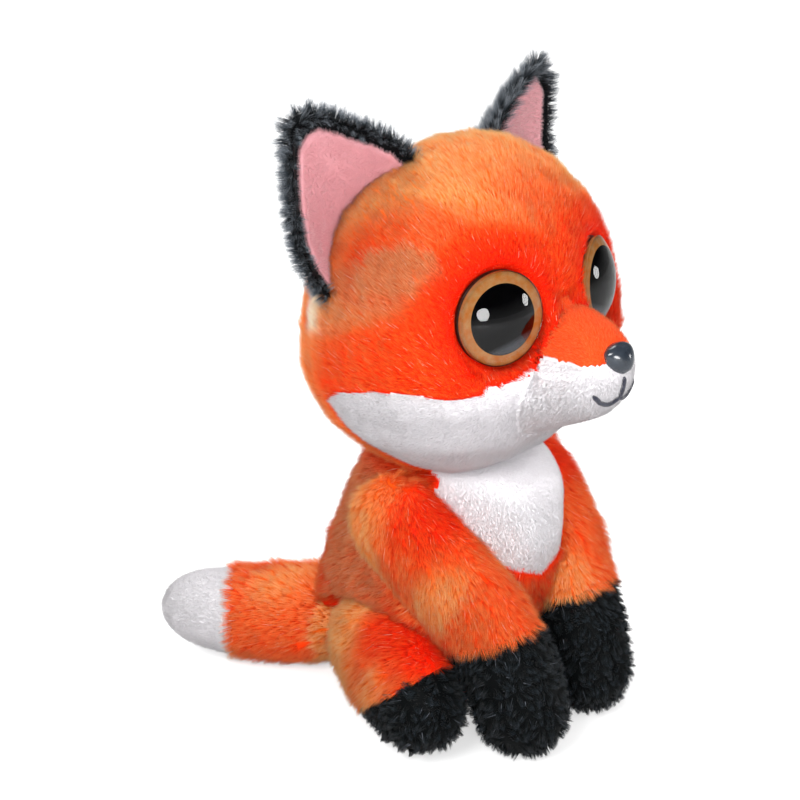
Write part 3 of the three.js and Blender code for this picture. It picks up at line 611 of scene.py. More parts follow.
def torso_marks(points):
    """Brown flanks, painted light in lighter streaks, and a painted shadow in darker red under the head."""
    right = on_right(points)
    brown = 0.6 * capsule(right, *FLANK)
    # Painted light: lighter streaks.
    light = smooth_step(ripple(points * np.array((1, 1, 1.5)), 30 * MM, 22), 0.3, 1.2) * 0.5
    # Painted shadow under the head: darker red high up on the torso.
    painted_shade = smooth_step(points[:, 2], 56 * MM, 68 * MM)
    return {"tint": brown, "light": light * (1 - painted_shade), "pale": 0 * brown, "painted_shade": painted_shade}


def limb_marks(points):
    """Painted shade in darker red on the flanks of the limbs, and painted light towards their backs and
    edges.
    """
    right = on_right(points)
    # Painted light: lighter towards the back of each limb and in streaks.
    rear = smooth_step(right[:, 1] + 2 * MM * ripple(points, 14 * MM, 32), -12 * MM, 2 * MM)
    rear[right[:, 1] > 20 * MM] = 0
    streak = smooth_step(ripple(points, 24 * MM, 31), 0.0, 1.2)
    light = np.clip(0.2 + 0.6 * streak + 0.7 * rear, 0, 1)
    painted_shade = np.maximum(capsule(right, *SHOULDER_SHADE), capsule(right, *THIGH_SHADE))
    return {"tint": 0 * light, "light": light * (1 - painted_shade), "pale": 0 * light, "painted_shade": 0.8 * painted_shade}


MARKS = {"head": head_marks, "torso": torso_marks}


# Which way the pile lies, by the node's or else the body's name without the side: how much it spreads
# to the sides, and its lie in the middle.

LIES = {
    "cheek": (0.35, (0, 1, 0.25)),
    "muzzle_top": (0.0, (0, 1, 0.2)),
    "muzzle_lower": (0.5, (0, 0.4, -0.7)),
    "bib": (0.0, (0, -0.2, -1)),
    "head": (0.3, (0, 1, 0.9)),
    "torso": (0.35, (0, 0.8, -0.6)),
    "tail": (0, (-0.5, 0.85, 0.05)),
    "front_leg": (0.15, (0, -0.35, -1)),
    "hind_leg": (0.2, (0, 0.3, -0.8)),
}
EAR_SPREAD = 0.8


def sideless(name):
    return name.removesuffix("_left").removesuffix("_right")


def ear_nap(node, points):
    """From the ear's root to its tip, and outward to its edges."""
    places = places_of(NODES[node].data)
    height = lengths(places - middle_of("head_skin"))
    tip = places[height.argmax()]
    root = places[height < np.quantile(height, 0.1)].mean(axis=0)
    way = unit(tip - root)
    outward = points - root - ((points - root) @ way)[:, None] * way
    return way + unit(outward) * EAR_SPREAD


def nap_of(node, body, points):
    """The lie of the pile at each point: back over the head, and back and down over the body."""
    if body.startswith("ear"):
        return ear_nap(node, points)
    sideways, lie = LIES.get(sideless(node)) or LIES[sideless(body)]
    outward = np.clip(points[:, 0] / PARTING, -1, 1)[:, None] * np.array((1, 0, 0))
    nap = unit(outward * sideways + np.array(lie))
    if body == "head":
        for eye in EYES:
            near = 1 - smooth_step(eye.gaps(points), eye.radius, eye.radius + EYE_REACH)
            nap = nap + unit(points - eye.middle) * near[:, None] * EYE_PARTING
    return nap


# Materials

BLACK = grey(0)
WHITE = grey(1)
CELLS = "ShaderNodeTexVoronoi"

# One strand in so many is a painted glint: a pale strand in place of a highlight. The coat's shades and its
# fine relief have grains of their own.
PAINTED_GLINT_ONE_IN = 80
COAT_GRAIN = 1.2 * MM
RELIEF_GRAIN = 0.5 * MM
RELIEF_DEPTH = 0.05 * MM


class Nodes:
    """The node tree of a material or world, with short calls for the nodes used here."""

    def __init__(self, name, kind="materials", shader="Principled BSDF"):
        self.owner = getattr(bpy.data, kind).new(name)
        self.owner.use_nodes = True
        self.tree = self.owner.node_tree
        self.shader = self.tree.nodes[shader]

    def add(self, kind, **settings):
        node = self.tree.nodes.new(kind)
        for key, value in settings.items():
            setattr(node, key, value)
        return node

    def link(self, source, target):
        self.tree.links.new(source, target)

    def trait(self, name):
        return self.add("ShaderNodeAttribute", attribute_name=name).outputs["Fac"]

    def ramp(self, source, stops):
        node = self.add("ShaderNodeValToRGB")
        elements = node.color_ramp.elements
        while len(elements) < len(stops):
            elements.new(0.5)
        for element, (place, shade) in zip(elements, stops):
            element.position = place
            element.color = shade
        self.link(source, node.inputs["Fac"])
        return node.outputs["Color"]

    def mix(self, share, first, second, kind="MIX"):
        node = self.add("ShaderNodeMix", data_type="RGBA", blend_type=kind)
        for socket, value in ((0, share), (6, first), (7, second)):
            if isinstance(value, bpy.types.NodeSocket):
                self.link(value, node.inputs[socket])
            else:
                node.inputs[socket].default_value = value
        return node.outputs[2]

    def sum(self, source, factor, offset, clamp=False):
        node = self.add("ShaderNodeMath", operation="MULTIPLY_ADD", use_clamp=clamp)
        self.link(source, node.inputs[0])
        node.inputs[1].default_value = factor
        node.inputs[2].default_value = offset
        return node.outputs[0]

    def noise(self, size, detail=3.0, kind="ShaderNodeTexNoise"):
        """Noise whose grains measure about the given size."""
        where = self.add("ShaderNodeTexCoord").outputs["Object"]
        node = self.add(kind)
        node.inputs["Scale"].default_value = 1 / size
        if "Detail" in node.inputs:
            node.inputs["Detail"].default_value = detail
        self.link(where, node.inputs["Vector"])
        return node.outputs[0]

    def bump(self, source, depth):
        node = self.add("ShaderNodeBump")
        node.inputs["Distance"].default_value = depth
        self.link(source, node.inputs["Height"])
        self.link(node.outputs["Normal"], self.shader.inputs["Normal"])

    def colour(self, source):
        self.link(source, self.shader.inputs["Base Color"])

    def set(self, **values):
        for key, value in values.items():
            self.shader.inputs[key.replace("_", " ")].default_value = value


def coat(name, stops, marks=(), painted_glint=None, sheen=0.3, sheen_tint=WHITE, roughness=0.6, uneven=0.3):
    """Plush: root to tip colours, marks that recolour it, among them painted light and painted shade,
    painted glints on a few strands if given, and a brightness of its own for each strand.
    """
    nodes = Nodes(name)
    along = nodes.trait("along")
    shade = nodes.ramp(along, stops)
    for trait, mark_stops in marks:
        shade = nodes.mix(nodes.trait(trait), shade, nodes.ramp(along, mark_stops))
    strand = nodes.trait("strand")
    if painted_glint:
        chosen = nodes.sum(strand, PAINTED_GLINT_ONE_IN, 1 - PAINTED_GLINT_ONE_IN, clamp=True)
        shade = nodes.mix(chosen, shade, painted_glint)
    grain = nodes.noise(COAT_GRAIN)
    bright = nodes.add("ShaderNodeHueSaturation")
    spread = nodes.sum(strand, uneven, 1 - uneven / 2)
    grains = nodes.sum(grain, uneven, 1 - uneven / 2)
    product = nodes.add("ShaderNodeMath", operation="MULTIPLY")
    nodes.link(spread, product.inputs[0])
    nodes.link(grains, product.inputs[1])
    nodes.link(product.outputs[0], bright.inputs["Value"])
    nodes.link(shade, bright.inputs["Color"])
    nodes.colour(bright.outputs["Color"])
    nodes.bump(nodes.noise(RELIEF_GRAIN, 2.0), RELIEF_DEPTH)
    nodes.set(Roughness=roughness, Sheen_Weight=sheen, Sheen_Roughness=0.4, Sheen_Tint=sheen_tint)
    nodes.set(Specular_IOR_Level=0.04)
    return nodes.owner


def patchy(name, size, first, second, spread=0.2, relief=None, **settings):
    """A plain material of two shades, in patches of about this size. Relief is a grain and a depth."""
    nodes = Nodes(name)
    nodes.colour(nodes.ramp(nodes.noise(size), [(0.5 - spread, first), (0.5 + spread, second)]))
    if relief:
        nodes.bump(nodes.noise(relief[0]), relief[1])
    nodes.set(**settings)
    return nodes.owner


# A strand's root, middle and tip colours. The lighter tips are partly the pile's own colour and partly
# painted light: light shining through and glancing off the tips.
def three(root, middle, tip):
    return [(0.05, srgb(*root)), (0.5, srgb(*middle)), (0.97, srgb(*tip))]


def make_coats():
    # Marks of the orange coat: painted light, brown, painted shade in darker red, and a pale spot.
    orange_marks = [
        ("light", three((248, 116, 32), (255, 158, 76), (255, 214, 152))),
        ("tint", three((198, 96, 50), (228, 128, 76), (250, 184, 132))),
        ("painted_shade", three((228, 26, 2), (250, 40, 4), (255, 78, 28))),
        ("pale", three((245, 205, 160), (252, 230, 200), (255, 243, 225))),
    ]
    warm = (1.0, 0.75, 0.5, 1)
    orange = three((238, 42, 4), (254, 70, 10), (255, 132, 58))
    # Painted light on the short coat of the muzzle's top.
    short_marks = [("light", three((245, 105, 30), (255, 125, 50), (255, 155, 85)))]
    short = three((245, 75, 28), (255, 98, 42), (255, 140, 80))
    white = three((228, 225, 228), (238, 235, 238), (246, 243, 246))
    black = three((6, 8, 9), (16, 22, 24), (54, 61, 68))
    ear = three((14, 16, 18), (54, 60, 66), (158, 164, 172))
    pink = three((212, 152, 158), (222, 166, 171), (234, 198, 202))
    return {
        # Where a coat has a fourth value, it is the colour of its painted glints.
        "orange": coat("orange_plush", orange, orange_marks, srgb(255, 235, 205), 0.08, warm, uneven=0.2),
        "orange_short": coat("orange_short_plush", short, short_marks, None, 0.08, warm, uneven=0.08),
        "white": coat("white_plush", white, sheen=0.05, uneven=0.06),
        "black": coat("black_plush", black, (), srgb(120, 125, 135), 0.05, roughness=0.5, uneven=0.5),
        "ear": coat("ear_plush", ear, (), srgb(150, 155, 160), 0.05, roughness=0.5, uneven=0.5),
        "pink": coat("pink_plush", pink, (), None, 0.1, (1, 0.9, 0.92, 1), uneven=0.08),
    }


# Which coat and pile each skin node has, by its name without the side
COAT_OF = {
    "head_skin": ("orange", "face"),
    "cheek": ("white", "white"),
    "muzzle_top": ("orange_short", "short"),
    "muzzle_lower": ("white", "snout"),
    "body_skin": ("orange", "orange"),
    "bib": ("white", "snout"),
    "seat_panel": ("orange", None),
    "neck_stuffing": ("orange", None),
    "tail_sleeve": ("orange", "orange"),
    "tail_tip": ("white", "white"),
    "front_sleeve": ("orange", "orange"),
    "front_paw": ("black", "black"),
    "hind_sleeve": ("orange", "orange"),
    "hind_paw": ("black", "black"),
    "ear_back": ("ear", "ear"),
    "ear_lining": ("pink", "pink"),
}

SUBPARTS = frame["record"]["subparts"]
SLOT_OF = {row["node"]: row["material_slot"] for row in SUBPARTS if "material_slot" in row}


# Eyes, found from their CAD discs

CUP_PLATE = 1.2 * MM
SHARPEST_SMOOTH = math.radians(40)


class Eye:
    def __init__(self, side):
        self.side = side
        pupil = places_of(NODES[f"eye_pupil_{side}"].data)
        middle = pupil.mean(axis=0)
        axis = np.linalg.svd(pupil - middle, full_matrices=False)[2][2]
        if (middle - middle_of("head_skin")) @ axis < 0:
            axis = -axis
        turn = Vector(axis).to_track_quat("Z", "Y").to_matrix().to_4x4()
        self.place = Matrix.Translation(Vector(middle)) @ turn
        self.turn = np.array(self.place.to_3x3())
        self.middle = np.array(self.place.translation)
        _, cup_high, self.radius = self.reach("eye_cup")
        self.back = cup_high - CUP_PLATE

    def gaps(self, points):
        """How far each point is from the eye's middle."""
        return lengths(points - self.middle)

    def local(self, points):
        """The points in the eye's own frame, with its axis as Z."""
        return (points - self.middle) @ self.turn

    def reach(self, part):
        """The lowest and highest place of an eye part along the eye's axis, and its radius."""
        vertices = NODES[f"{part}_{self.side}"].data.vertices
        local = [self.place.inverted() @ vertex.co for vertex in vertices]
        heights = [point.z for point in local]
        return min(heights), max(heights), max(math.hypot(point.x, point.y) for point in local)


EYES = [Eye(side) for side in SIDES]


def band(made, rings):
    """Joins each ring of vertices to the next by faces."""
    for lower, upper in zip(rings, rings[1:]):
        for step, vertex in enumerate(lower):
            after = (step + 1) % len(lower)
            made.faces.new((vertex, lower[after], upper[after], upper[step]))


def lathe(name, profile, place, turns=72):
    """A closed solid turned about the local Z axis: a ring, or whole where its profile ends on the axis."""
    whole = profile[0][0] == 0
    angles = [math.tau * step / turns for step in range(turns)]
    made = bmesh.new()
    rings = []
    for radius, height in profile[1:-1] if whole else profile:
        rings.append([made.verts.new((radius * math.cos(a), radius * math.sin(a), height)) for a in angles])
    band(made, rings if whole else [*rings, rings[0]])
    for ring, end in ((rings[0], profile[0]), (rings[-1], profile[-1])) if whole else ():
        tip = made.verts.new((0, 0, end[1]))
        for step in range(turns):
            made.faces.new((tip, ring[step], ring[(step + 1) % turns]))
    bmesh.ops.recalc_face_normals(made, faces=made.faces)
    mesh = mesh_of(made, name)
    mesh.transform(place)
    shade_smooth(mesh)
    piece = link(name, mesh)
    modify(piece, "EDGE_SPLIT", split_angle=SHARPEST_SMOOTH)
    return piece


def rounded(radius, low, high, bevel, steps=5):
    """A disc's profile with rounded edges."""
    profile = [(0, low)]
    for height, start in ((low + bevel, -90), (high - bevel, 0)):
        for step in range(steps + 1):
            angle = math.radians(start + 90 * step / steps)
            profile.append((radius - bevel + bevel * math.cos(angle), height + bevel * math.sin(angle)))
    return [*profile, (0, high)]


def washer(inner, outer, low, high, bevel):
    """A flat ring's profile, with its outer top edge bevelled."""
    return [(inner, low), (outer, low), (outer, high - bevel), (outer - bevel, high), (inner, high)]


def dome(radius, low, high, edge, steps=18):
    """A lens: flat below, a short upright edge, then a round cap."""
    rise = high - low - edge
    ball = (radius**2 + rise**2) / (2 * rise)
    whole = math.asin(radius / ball)
    cap = []
    for step in range(steps):
        angle = whole * (1 - step / steps)
        cap.append((ball * math.sin(angle), high - ball * (1 - math.cos(angle))))
    return [(0, low), (radius * 0.98, low), (radius, low + edge * 0.3), *cap, (0, high)]


PUPIL_GROWTH = 1.07
RING_GAP = 0.05 * MM
LENS_SINK = 0.1 * MM
LENS_EDGE = 0.9 * MM
SHANK = 2.2 * MM
SHANK_BEVEL = 0.4 * MM
CUP_BEVEL = 0.5 * MM
DISC_BEVEL = 0.15 * MM
GLINTS_TOWARDS = np.array((0.85, -0.5))
# The way that the pupil's painted reflection lies from its middle.
PAINTED_REFLECTION_TOWARDS = np.array((0.3, -0.9))


def make_eyes():
    backing = patchy("eye_backing", 0.6 * MM, srgb(20, 10, 6), srgb(46, 26, 14), spread=0.15,
                     relief=(0.3 * MM, 0.02 * MM), Roughness=0.3)
    clear = patchy("eye_clear", 9 * MM, (0.97, 0.97, 0.98, 1), WHITE, spread=0.3,
                   Roughness=0.02, Transmission_Weight=1.0, IOR=1.42)
    glitter, black = eye_glitter(), eye_black()
    for eye in EYES:
        side = eye.side
        cup_low, cup_high, cup_radius = eye.reach("eye_cup")
        iris_low, iris_high, iris_radius = eye.reach("eye_iris")
        pupil_low, pupil_high, pupil_radius = eye.reach("eye_pupil")
        pupil_radius *= PUPIL_GROWTH
        _, lens_high, lens_radius = eye.reach("eye_lens")
        shank = [(0, cup_low), (SHANK * 0.9, cup_low), (SHANK, cup_low + SHANK_BEVEL), (SHANK, eye.back)]
        cup = [*shank, *rounded(cup_radius, eye.back, cup_high, CUP_BEVEL)[1:]]
        iris = washer(pupil_radius + RING_GAP, iris_radius, iris_low, iris_high, DISC_BEVEL)
        parts = {
            "eye_cup": (cup, backing),
            "eye_iris": (iris, glitter),
            "eye_pupil": (rounded(pupil_radius, pupil_low, pupil_high, DISC_BEVEL), black),
            "eye_lens": (dome(lens_radius, pupil_low + LENS_SINK, lens_high, LENS_EDGE), clear),
        }
        for part, (profile, material) in parts.items():
            piece = lathe(f"{part}_{side}_shape", profile, eye.place)
            facing = eye.local(places_of(piece.data))[:, :2] / cup_radius
            facing[:, 0] *= -1 if side == "left" else 1
            write_trait(piece.data, "radius", lengths(facing))
            write_trait(piece.data, "inner", 0.5 + 0.5 * facing @ GLINTS_TOWARDS)
            write_trait(piece.data, "painted_reflection", facing @ PAINTED_REFLECTION_TOWARDS)
            wear(piece, material, "head", f"{part}_{side}")


def eye_glitter():
    """Golden brown flakes under the lens: dull ones of three shades, and painted glints, a few bright ones
    by the rim on the inner side.
    """
    nodes = Nodes("eye_glitter")
    soft = nodes.ramp(nodes.noise(1.6 * MM), [(0.3, srgb(255, 165, 80)), (0.7, srgb(255, 215, 150))])
    shades = [(0.1, srgb(255, 232, 175)), (0.3, srgb(225, 150, 80)), (0.7, srgb(165, 92, 42))]
    flakes = nodes.ramp(nodes.noise(0.25 * MM, kind=CELLS), shades)
    radius = nodes.trait("radius")
    bright = srgb(245, 215, 185)
    edges = nodes.ramp(radius, [
        (0.66, srgb(120, 72, 40)), (0.72, bright), (0.86, bright), (0.95, srgb(110, 62, 30))])
    shade = nodes.mix(0.35, nodes.mix(0.35, soft, flakes), edges, "MULTIPLY")
    # Painted glints: bright gold flakes by the rim, on the inner side.
    glints = nodes.ramp(nodes.noise(0.7 * MM, kind=CELLS), [(0.3, WHITE), (0.42, BLACK)])
    rim = nodes.ramp(radius, [(0.8, BLACK), (0.88, WHITE)])
    inner = nodes.ramp(nodes.trait("inner"), [(0.4, BLACK), (0.6, WHITE)])
    share = nodes.mix(1.0, nodes.mix(1.0, glints, rim, "MULTIPLY"), inner, "MULTIPLY")
    nodes.colour(nodes.mix(share, shade, srgb(255, 214, 120)))
    nodes.bump(nodes.noise(0.2 * MM, kind=CELLS), 0.1 * MM)
    nodes.set(Roughness=0.5, Specular_IOR_Level=0.0)
    return nodes.owner


def eye_black():
    """Black, with a painted reflection: a grey arc with a glittering grain along its lower edge."""
    nodes = Nodes("eye_black")
    black = nodes.ramp(nodes.noise(2 * MM), [(0.3, srgb(1, 1, 2)), (0.7, srgb(5, 5, 7))])
    glitter = nodes.ramp(nodes.noise(0.15 * MM), [(0.35, srgb(40, 46, 50)), (0.65, srgb(112, 118, 124))])
    low = nodes.ramp(nodes.trait("painted_reflection"), [(0.42, BLACK), (0.55, WHITE)])
    nodes.colour(nodes.mix(low, black, glitter))
    nodes.set(Roughness=0.6, Specular_IOR_Level=0.0)
    return nodes.owner


def wear(piece, material, body, *stood_for, slot=None):
    """Gives a piece its material and its CAD body, and hides the CAD nodes it stands for. Its slot is not
    used.
    """
    piece.data.materials.clear()
    piece.data.materials.append(material)
    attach(piece, body)
    if stood_for:
        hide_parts(*stood_for)


# Nose and mouth

NOSE_SEAT = Vector((0, -48.8, 93.4)) * MM
NOSE_TILT = math.radians(42)
NOSE_RADIUS = 3.4 * MM
NOSE_WIDTH = 1.15
NOSE_RISE = 3.0 * MM
NOSE_ROOT = 1.2 * MM
NOSE_EDGE = 0.6 * MM
NOSE_STEPS = 14
NOSE_TAPER = 0.3
NOSE_ROUNDING = 0.06
NOSE_BELOW = 1.1
NOSE_ABOVE = 0.85
NOSE_BARE = 0.9
MOUTH_TOP = 89.2 * MM
MOUTH_MIDDLE = 84.6 * MM
MOUTH_HALF_WIDTH = 7.2 * MM
MOUTH_DIP = 1.0 * MM
MOUTH_CORNER = 1.8 * MM
MOUTH_TURN = 0.75
LINE_STEPS = 8
SMILE_STEPS = 12
THREAD_RADIUS = 0.55 * MM
THREAD_LIFT = 0.3 * THREAD_RADIUS
STITCH_END = 0.45
WELL_AHEAD = -0.2


def make_nose():
    """A rounded triangular button, wide above and narrow below, in polished plastic."""
    turn = Matrix.Rotation(math.pi / 2 - NOSE_TILT, 4, "X")
    place = Matrix.Translation(NOSE_SEAT) @ turn
    profile = dome(NOSE_RADIUS, -NOSE_ROOT, NOSE_RISE, NOSE_ROOT + NOSE_EDGE, NOSE_STEPS)
    nose = lathe("nose_shape", profile, Matrix.Identity(4))
    places = places_of(nose.data)
    up = places[:, 1] / NOSE_RADIUS
    places[:, 0] *= NOSE_WIDTH * (1 + NOSE_TAPER * up - NOSE_ROUNDING * up**2)
    places[:, 1] *= np.where(up < 0, NOSE_BELOW, NOSE_ABOVE)
    set_places(nose.data, places)
    nose.data.transform(place)
    plastic = patchy("nose_plastic", 3 * MM, srgb(34, 40, 48), srgb(52, 59, 68),
                     relief=(0.8 * MM, 0.03 * MM), Roughness=0.22, Coat_Weight=0.5, Coat_Roughness=0.08)
    wear(nose, plastic, "head", "nose")


def on_front(tree, across, height):
    """The point of the muzzle's front at this place across and up."""
    place, normal = tree.ray_cast(Vector((across, WELL_AHEAD, height)), Vector((0, 1, 0)))[:2]
    return place + normal * THREAD_LIFT


def tube(name, path, radius, sides=10):
    """A closed round tube along a path, tapered to a stitch at both ends."""
    made = bmesh.new()
    rings = []
    for index, point in enumerate(path):
        before, after = path[max(index - 1, 0)], path[min(index + 1, len(path) - 1)]
        way = (after - before).normalized()
        side = way.cross(Vector((0, 1, 0.1))).normalized()
        other = way.cross(side)
        thin = radius * (STITCH_END if index in (0, len(path) - 1) else 1)
        ring = []
        for step in range(sides):
            angle = math.tau * step / sides
            ring.append(made.verts.new(point + (side * math.cos(angle) + other * math.sin(angle)) * thin))
        rings.append(ring)
    band(made, rings)
    made.faces.new(list(reversed(rings[0])))
    made.faces.new(rings[-1])
    bmesh.ops.recalc_face_normals(made, faces=made.faces)
    return mesh_of(made, name)


def make_mouth(tree):
    """The stitched line under the nose and the smile, as one piece of three thick threads."""
    line = MOUTH_MIDDLE - MOUTH_TOP
    heights = [MOUTH_TOP + line * step / LINE_STEPS for step in range(LINE_STEPS + 1)]
    paths = [[on_front(tree, 0, height) for height in heights]]
    for way in (-1, 1):
        path = []
        for step in range(SMILE_STEPS + 1):
            share = step / SMILE_STEPS
            dip = -MOUTH_DIP * math.sin(math.pi * min(share / MOUTH_TURN, 1))
            dip += MOUTH_CORNER * max(0, share - MOUTH_TURN) / (1 - MOUTH_TURN)
            path.append(on_front(tree, way * MOUTH_HALF_WIDTH * share, MOUTH_MIDDLE + dip))
        paths.append(path)
    made = bmesh.new()
    for path in paths:
        made.from_mesh(tube("thread", path, THREAD_RADIUS))
    mouth = link("mouth_stitch_shape", mesh_of(made, "mouth_thread_shape"))
    nodes = Nodes("mouth_thread")
    wave = nodes.noise(0.35 * MM, 2.0)
    nodes.colour(nodes.ramp(wave, [(0.3, srgb(10, 12, 26)), (0.7, srgb(36, 40, 62))]))
    nodes.bump(wave, 0.15 * MM)
    nodes.set(Roughness=0.6, Sheen_Weight=0.3)
    wear(mouth, nodes.owner, "head", "mouth_stitch")


# Dressing

def cover_marks(body, points):
    return MARKS.get(body, limb_marks)(points)


def trim_roots(body, roots):
    """Which roots grow, and how long: none under an eye or the nose, and short beside them."""
    keep = np.ones(len(roots), bool)
    scale = np.ones(len(roots))
    if body == "head":
        for eye in EYES:
            gap = eye.gaps(roots)
            keep &= gap > eye.radius
            scale *= SHORTEST + (1 - SHORTEST) * smooth_step(gap, eye.radius, eye.radius + EYE_REACH)
        gap = lengths(roots - np.array(NOSE_SEAT))
        keep &= gap > NOSE_RADIUS * NOSE_BARE
    return keep, scale


def owners(points, skins):
    """For each point, which panel it is on, and how clearly: how much nearer than to the next panel."""
    gaps = distances_to(points, skins)
    owner = gaps.argmin(axis=0)
    if len(skins) == 1:
        return owner, np.full(len(points), np.inf)
    clear = lead_of(gaps)
    if "muzzle_top" in skins:
        top, lower = skins.index("muzzle_top"), skins.index("muzzle_lower")
        above = points[:, 2] - MUZZLE_PART_HEIGHT
        above -= MUZZLE_PART_SLOPE * (points[:, 1] - MUZZLE_PART_FRONT)
        reach = snout_reach(points, gaps, skins)
        gaps[[top, lower]] = np.inf
        owner = np.where(reach > 0, np.where(above > 0, top, lower), gaps.argmin(axis=0))
        clear = np.minimum(np.abs(reach), np.where(reach > 0, np.abs(above), lead_of(gaps)))
    if "bib" in skins:
        bib, skin = skins.index("bib"), skins.index("body_skin")
        half = np.interp(points[:, 2], BIB_HEIGHTS, BIB_HALF_WIDTHS)
        inside = np.minimum(half - np.abs(points[:, 0]), BIB_BACK - points[:, 1])
        ahead = (points[:, 1] < BIB_BACK) & (points[:, 2] > BIB_HEIGHTS[0] - BORDER_REACH)
        front = (owner == bib) | ahead
        owner[front] = np.where(inside > 0, bib, skin)[front]
        clear[front] = np.abs(inside)[front]
    return owner, clear


def grow(node, body, surface, chosen, coats, belongs):
    """The pile of one skin node. Near its borders, belongs tells which roots are its own."""
    coat_name, pile_name = COAT_OF[sideless(node)]
    if pile_name is None or not chosen.any():
        return
    pile = in_metres(PILES[pile_name])
    rng = np.random.default_rng(sum(map(ord, node)))
    roots, normals, faces = scatter(surface, chosen, pile.density, rng)
    keep, scale = trim_roots(body, roots)
    keep &= belongs(roots, faces)
    keep &= (roots[:, 2] > UNDERSIDE) | (normals[:, 2] > DOWNWARD)
    roots, normals, scale = roots[keep], normals[keep], scale[keep]
    lines = strand_lines(roots, normals, pile, nap_of(node, body, roots), scale, rng)
    width = pile.width * rng.uniform(*WIDTH_SHARES, len(roots))
    traits = {"strand": rng.random(len(roots)), **cover_marks(body, roots)}
    count = math.ceil(len(roots) / STRANDS_TO_A_PIECE)
    for part in range(count):
        some = slice(part, None, count)
        name = f"{node}_pile" if count == 1 else f"{node}_pile_{part + 1}"
        own = {trait: values[some] for trait, values in traits.items()}
        mesh = strand_mesh(name, roots[some], normals[some], lines[some], width[some], own)
        wear(link(name, mesh), coats[coat_name], body, slot=SLOT_OF[node])


def dress(body, cover, skins, inside, coats, neighbours):
    """Splits a cover into its panels, one for each skin node, and grows their pile."""
    centres = read(cover.data.polygons, "center").astype(float)
    points = [Vector(centre) for centre in centres]
    owner, clear = owners(centres, skins)
    border = clear < BORDER_REACH
    bare = np.zeros(len(points), bool)
    for tree, reach in neighbours:
        for index, point in enumerate(points):
            place, normal, _, gap = tree.find_nearest(point)
            bare[index] |= gap < reach or (gap < DEEPEST_HIDDEN and (point - place).dot(normal) < 0)
    surface = surface_of(cover.data)
    for index, node in enumerate(skins):
        chosen = owner == index
        piece = panel(f"{node}_cover", cover, chosen)
        places = places_of(piece.data)
        traits = {"along": np.zeros(len(places)), "strand": np.full(len(places), 0.5)}
        traits.update(cover_marks(body, places))
        for trait, values in traits.items():
            write_trait(piece.data, trait, values)
        stood_for = [node, *inside] if index == 0 else [node]
        wear(piece, coats[COAT_OF[sideless(node)][0]], body, *stood_for)

        def belongs(roots, faces, index=index):
            own = chosen[faces]
            close = border[faces]
            own[close] = owners(roots[close], skins)[0] == index
            return own

        grow(node, body, surface, (chosen | border) & ~bare, coats, belongs)


def make_ears(coats):
    for side in SIDES:
        body = f"ear_{side}"
        nodes = [f"ear_back_{side}", f"ear_lining_{side}"]
        covers = [grid_cover(node + "_grid", [node], EAR_GRID, turns=EAR_ROUNDING_TURNS) for node in nodes]
        lining = tree_of(covers[1].data)
        dress(body, covers[0], nodes[:1], [], coats, [(lining, LINING_REACH)])
        dress(body, covers[1], nodes[1:], [], coats, [])
        for cover in covers:
            bpy.data.objects.remove(cover)


def make_washers():
    plastic = patchy("washer_plastic", 1.5 * MM, srgb(214, 210, 200), srgb(226, 223, 214),
                     relief=(0.3 * MM, 0.03 * MM), Roughness=0.5)
    for name, node in NODES.items():
        if "washer" in name:
            node.data.materials.clear()
            node.data.materials.append(plastic)


# Studio

def aim(name, data, azimuth, elevation, distance):
    """Places a camera or a lamp round the camera's target, facing it."""
    turn, lift = math.radians(azimuth), math.radians(elevation)
    back = Vector((math.sin(turn) * math.cos(lift), -math.cos(turn) * math.cos(lift), math.sin(lift)))
    piece = link(name, data)
    piece.location = CAMERA_TARGET + back * distance
    piece.rotation_mode = "QUATERNION"
    piece.rotation_quaternion = (-back).to_track_quat("-Z", "Y")
    return piece


def add_camera():
    camera = bpy.data.cameras.new("camera")
    camera.lens = FOCAL_LENGTH
    camera.sensor_width = SENSOR_WIDTH
    camera.clip_start = NEAREST_SEEN
    bpy.context.scene.camera = aim("camera", camera, *CAMERA_PLACE)


def add_lamps():
    for name, (azimuth, elevation, distance, size, watts) in LAMPS.items():
        light = bpy.data.lights.new(name, "AREA")
        light.shape = "DISK"
        light.size = size
        light.energy = watts
        aim(name, light, azimuth, elevation, distance)


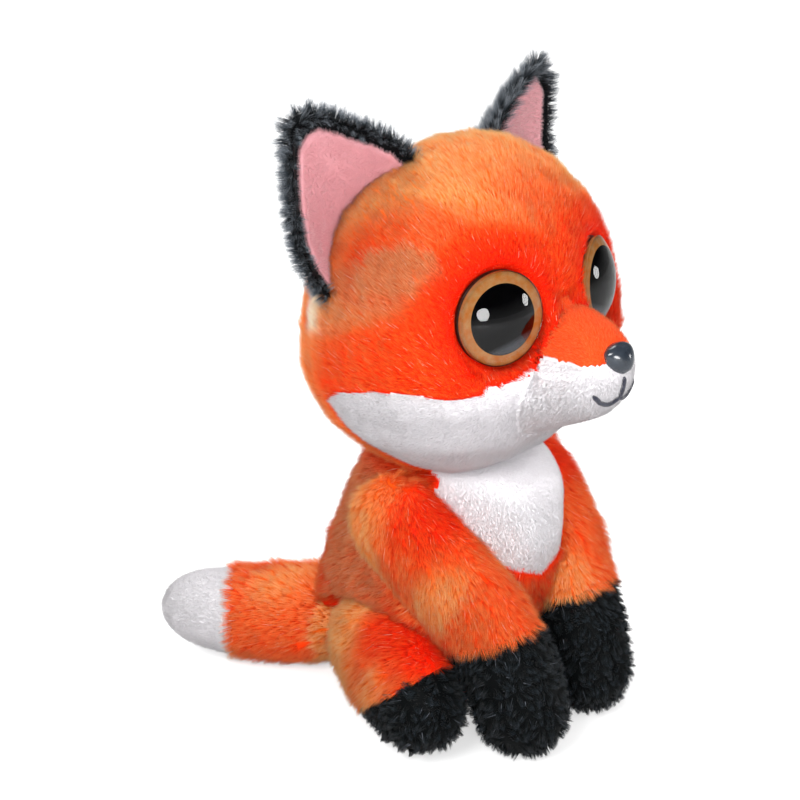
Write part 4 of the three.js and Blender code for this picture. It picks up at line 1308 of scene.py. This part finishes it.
def add_world():
    """An even light on the object. The camera sees it white, and reflections see it dark overhead."""
    nodes = Nodes("studio", "worlds", "Background")
    bpy.context.scene.world = nodes.owner
    height = nodes.add("ShaderNodeSeparateXYZ")
    nodes.link(nodes.add("ShaderNodeTexCoord").outputs["Generated"], height.inputs[0])
    overhead = nodes.ramp(height.outputs[2], [(0.0, grey(GREY_BELOW)), (DARK_FROM, grey(DARK_ABOVE))])
    rays = nodes.add("ShaderNodeLightPath").outputs
    even = nodes.mix(rays["Is Glossy Ray"], grey(WORLD_LIGHT), overhead)
    nodes.link(nodes.mix(rays["Is Camera Ray"], even, WHITE), nodes.shader.inputs["Color"])


def add_floor():
    mesh = bpy.data.meshes.new("floor")
    half = FLOOR_SIZE / 2
    corners = [(-half, -half, 0), (half, -half, 0), (half, half, 0), (-half, half, 0)]
    mesh.from_pydata(corners, [], [(0, 1, 2, 3)])
    floor = link("floor", mesh)
    nodes = Nodes("floor")
    nodes.set(Base_Color=grey(FLOOR_SHADE), Emission_Color=WHITE, Roughness=0.9, Specular_IOR_Level=0.0)
    glow = nodes.sum(nodes.add("ShaderNodeLightPath").outputs["Is Camera Ray"], FLOOR_GLOW, 0)
    nodes.link(glow, nodes.shader.inputs["Emission Strength"])
    mesh.materials.append(nodes.owner)


# Making it all

def make_covers():
    """The cover of each stuffed body, swollen by its filling and seated on what it touches."""
    covers = {}
    for body, (skins, inside) in STUFFED.items():
        covers[body] = grid_cover(f"{body}_grid", skins + inside, GRID, FILLED.get(body, ()))
    swell([(covers[body], STUFFED[body][0]) for body in covers])
    for cover in covers.values():
        finish_grid(cover)
    draw_seams(covers["head"], STUFFED["head"][0])
    set_places(covers["head"].data, seat_fittings(places_of(covers["head"].data)))
    limbs = [tree_of(cover.data) for body, cover in covers.items() if body not in ("head", "neck", "torso")]
    joints = frame["record"]["behaviour"]["joints"]
    pivot = Vector(next(row["pos_m"] for row in joints if row["name"] == "head_turn"))
    reach = pivot.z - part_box("head_skin")[0].z + HEAD_CLEARANCE
    make_room(covers["torso"], pivot, reach, limbs)
    return covers


add_camera()
add_lamps()
add_world()
add_floor()
bpy.context.scene.view_settings.view_transform = "Standard"

coats = make_coats()
covers = make_covers()
trees = {body: tree_of(cover.data) for body, cover in covers.items()}
for body, (skins, inside) in STUFFED.items():
    neighbours = [(tree, HIDDEN_REACH) for other, tree in trees.items() if other != body]
    dress(body, covers[body], skins, inside, coats, neighbours)
make_ears(coats)
make_eyes()
make_nose()
make_mouth(trees["head"])
make_washers()
for cover in covers.values():
    bpy.data.objects.remove(cover)
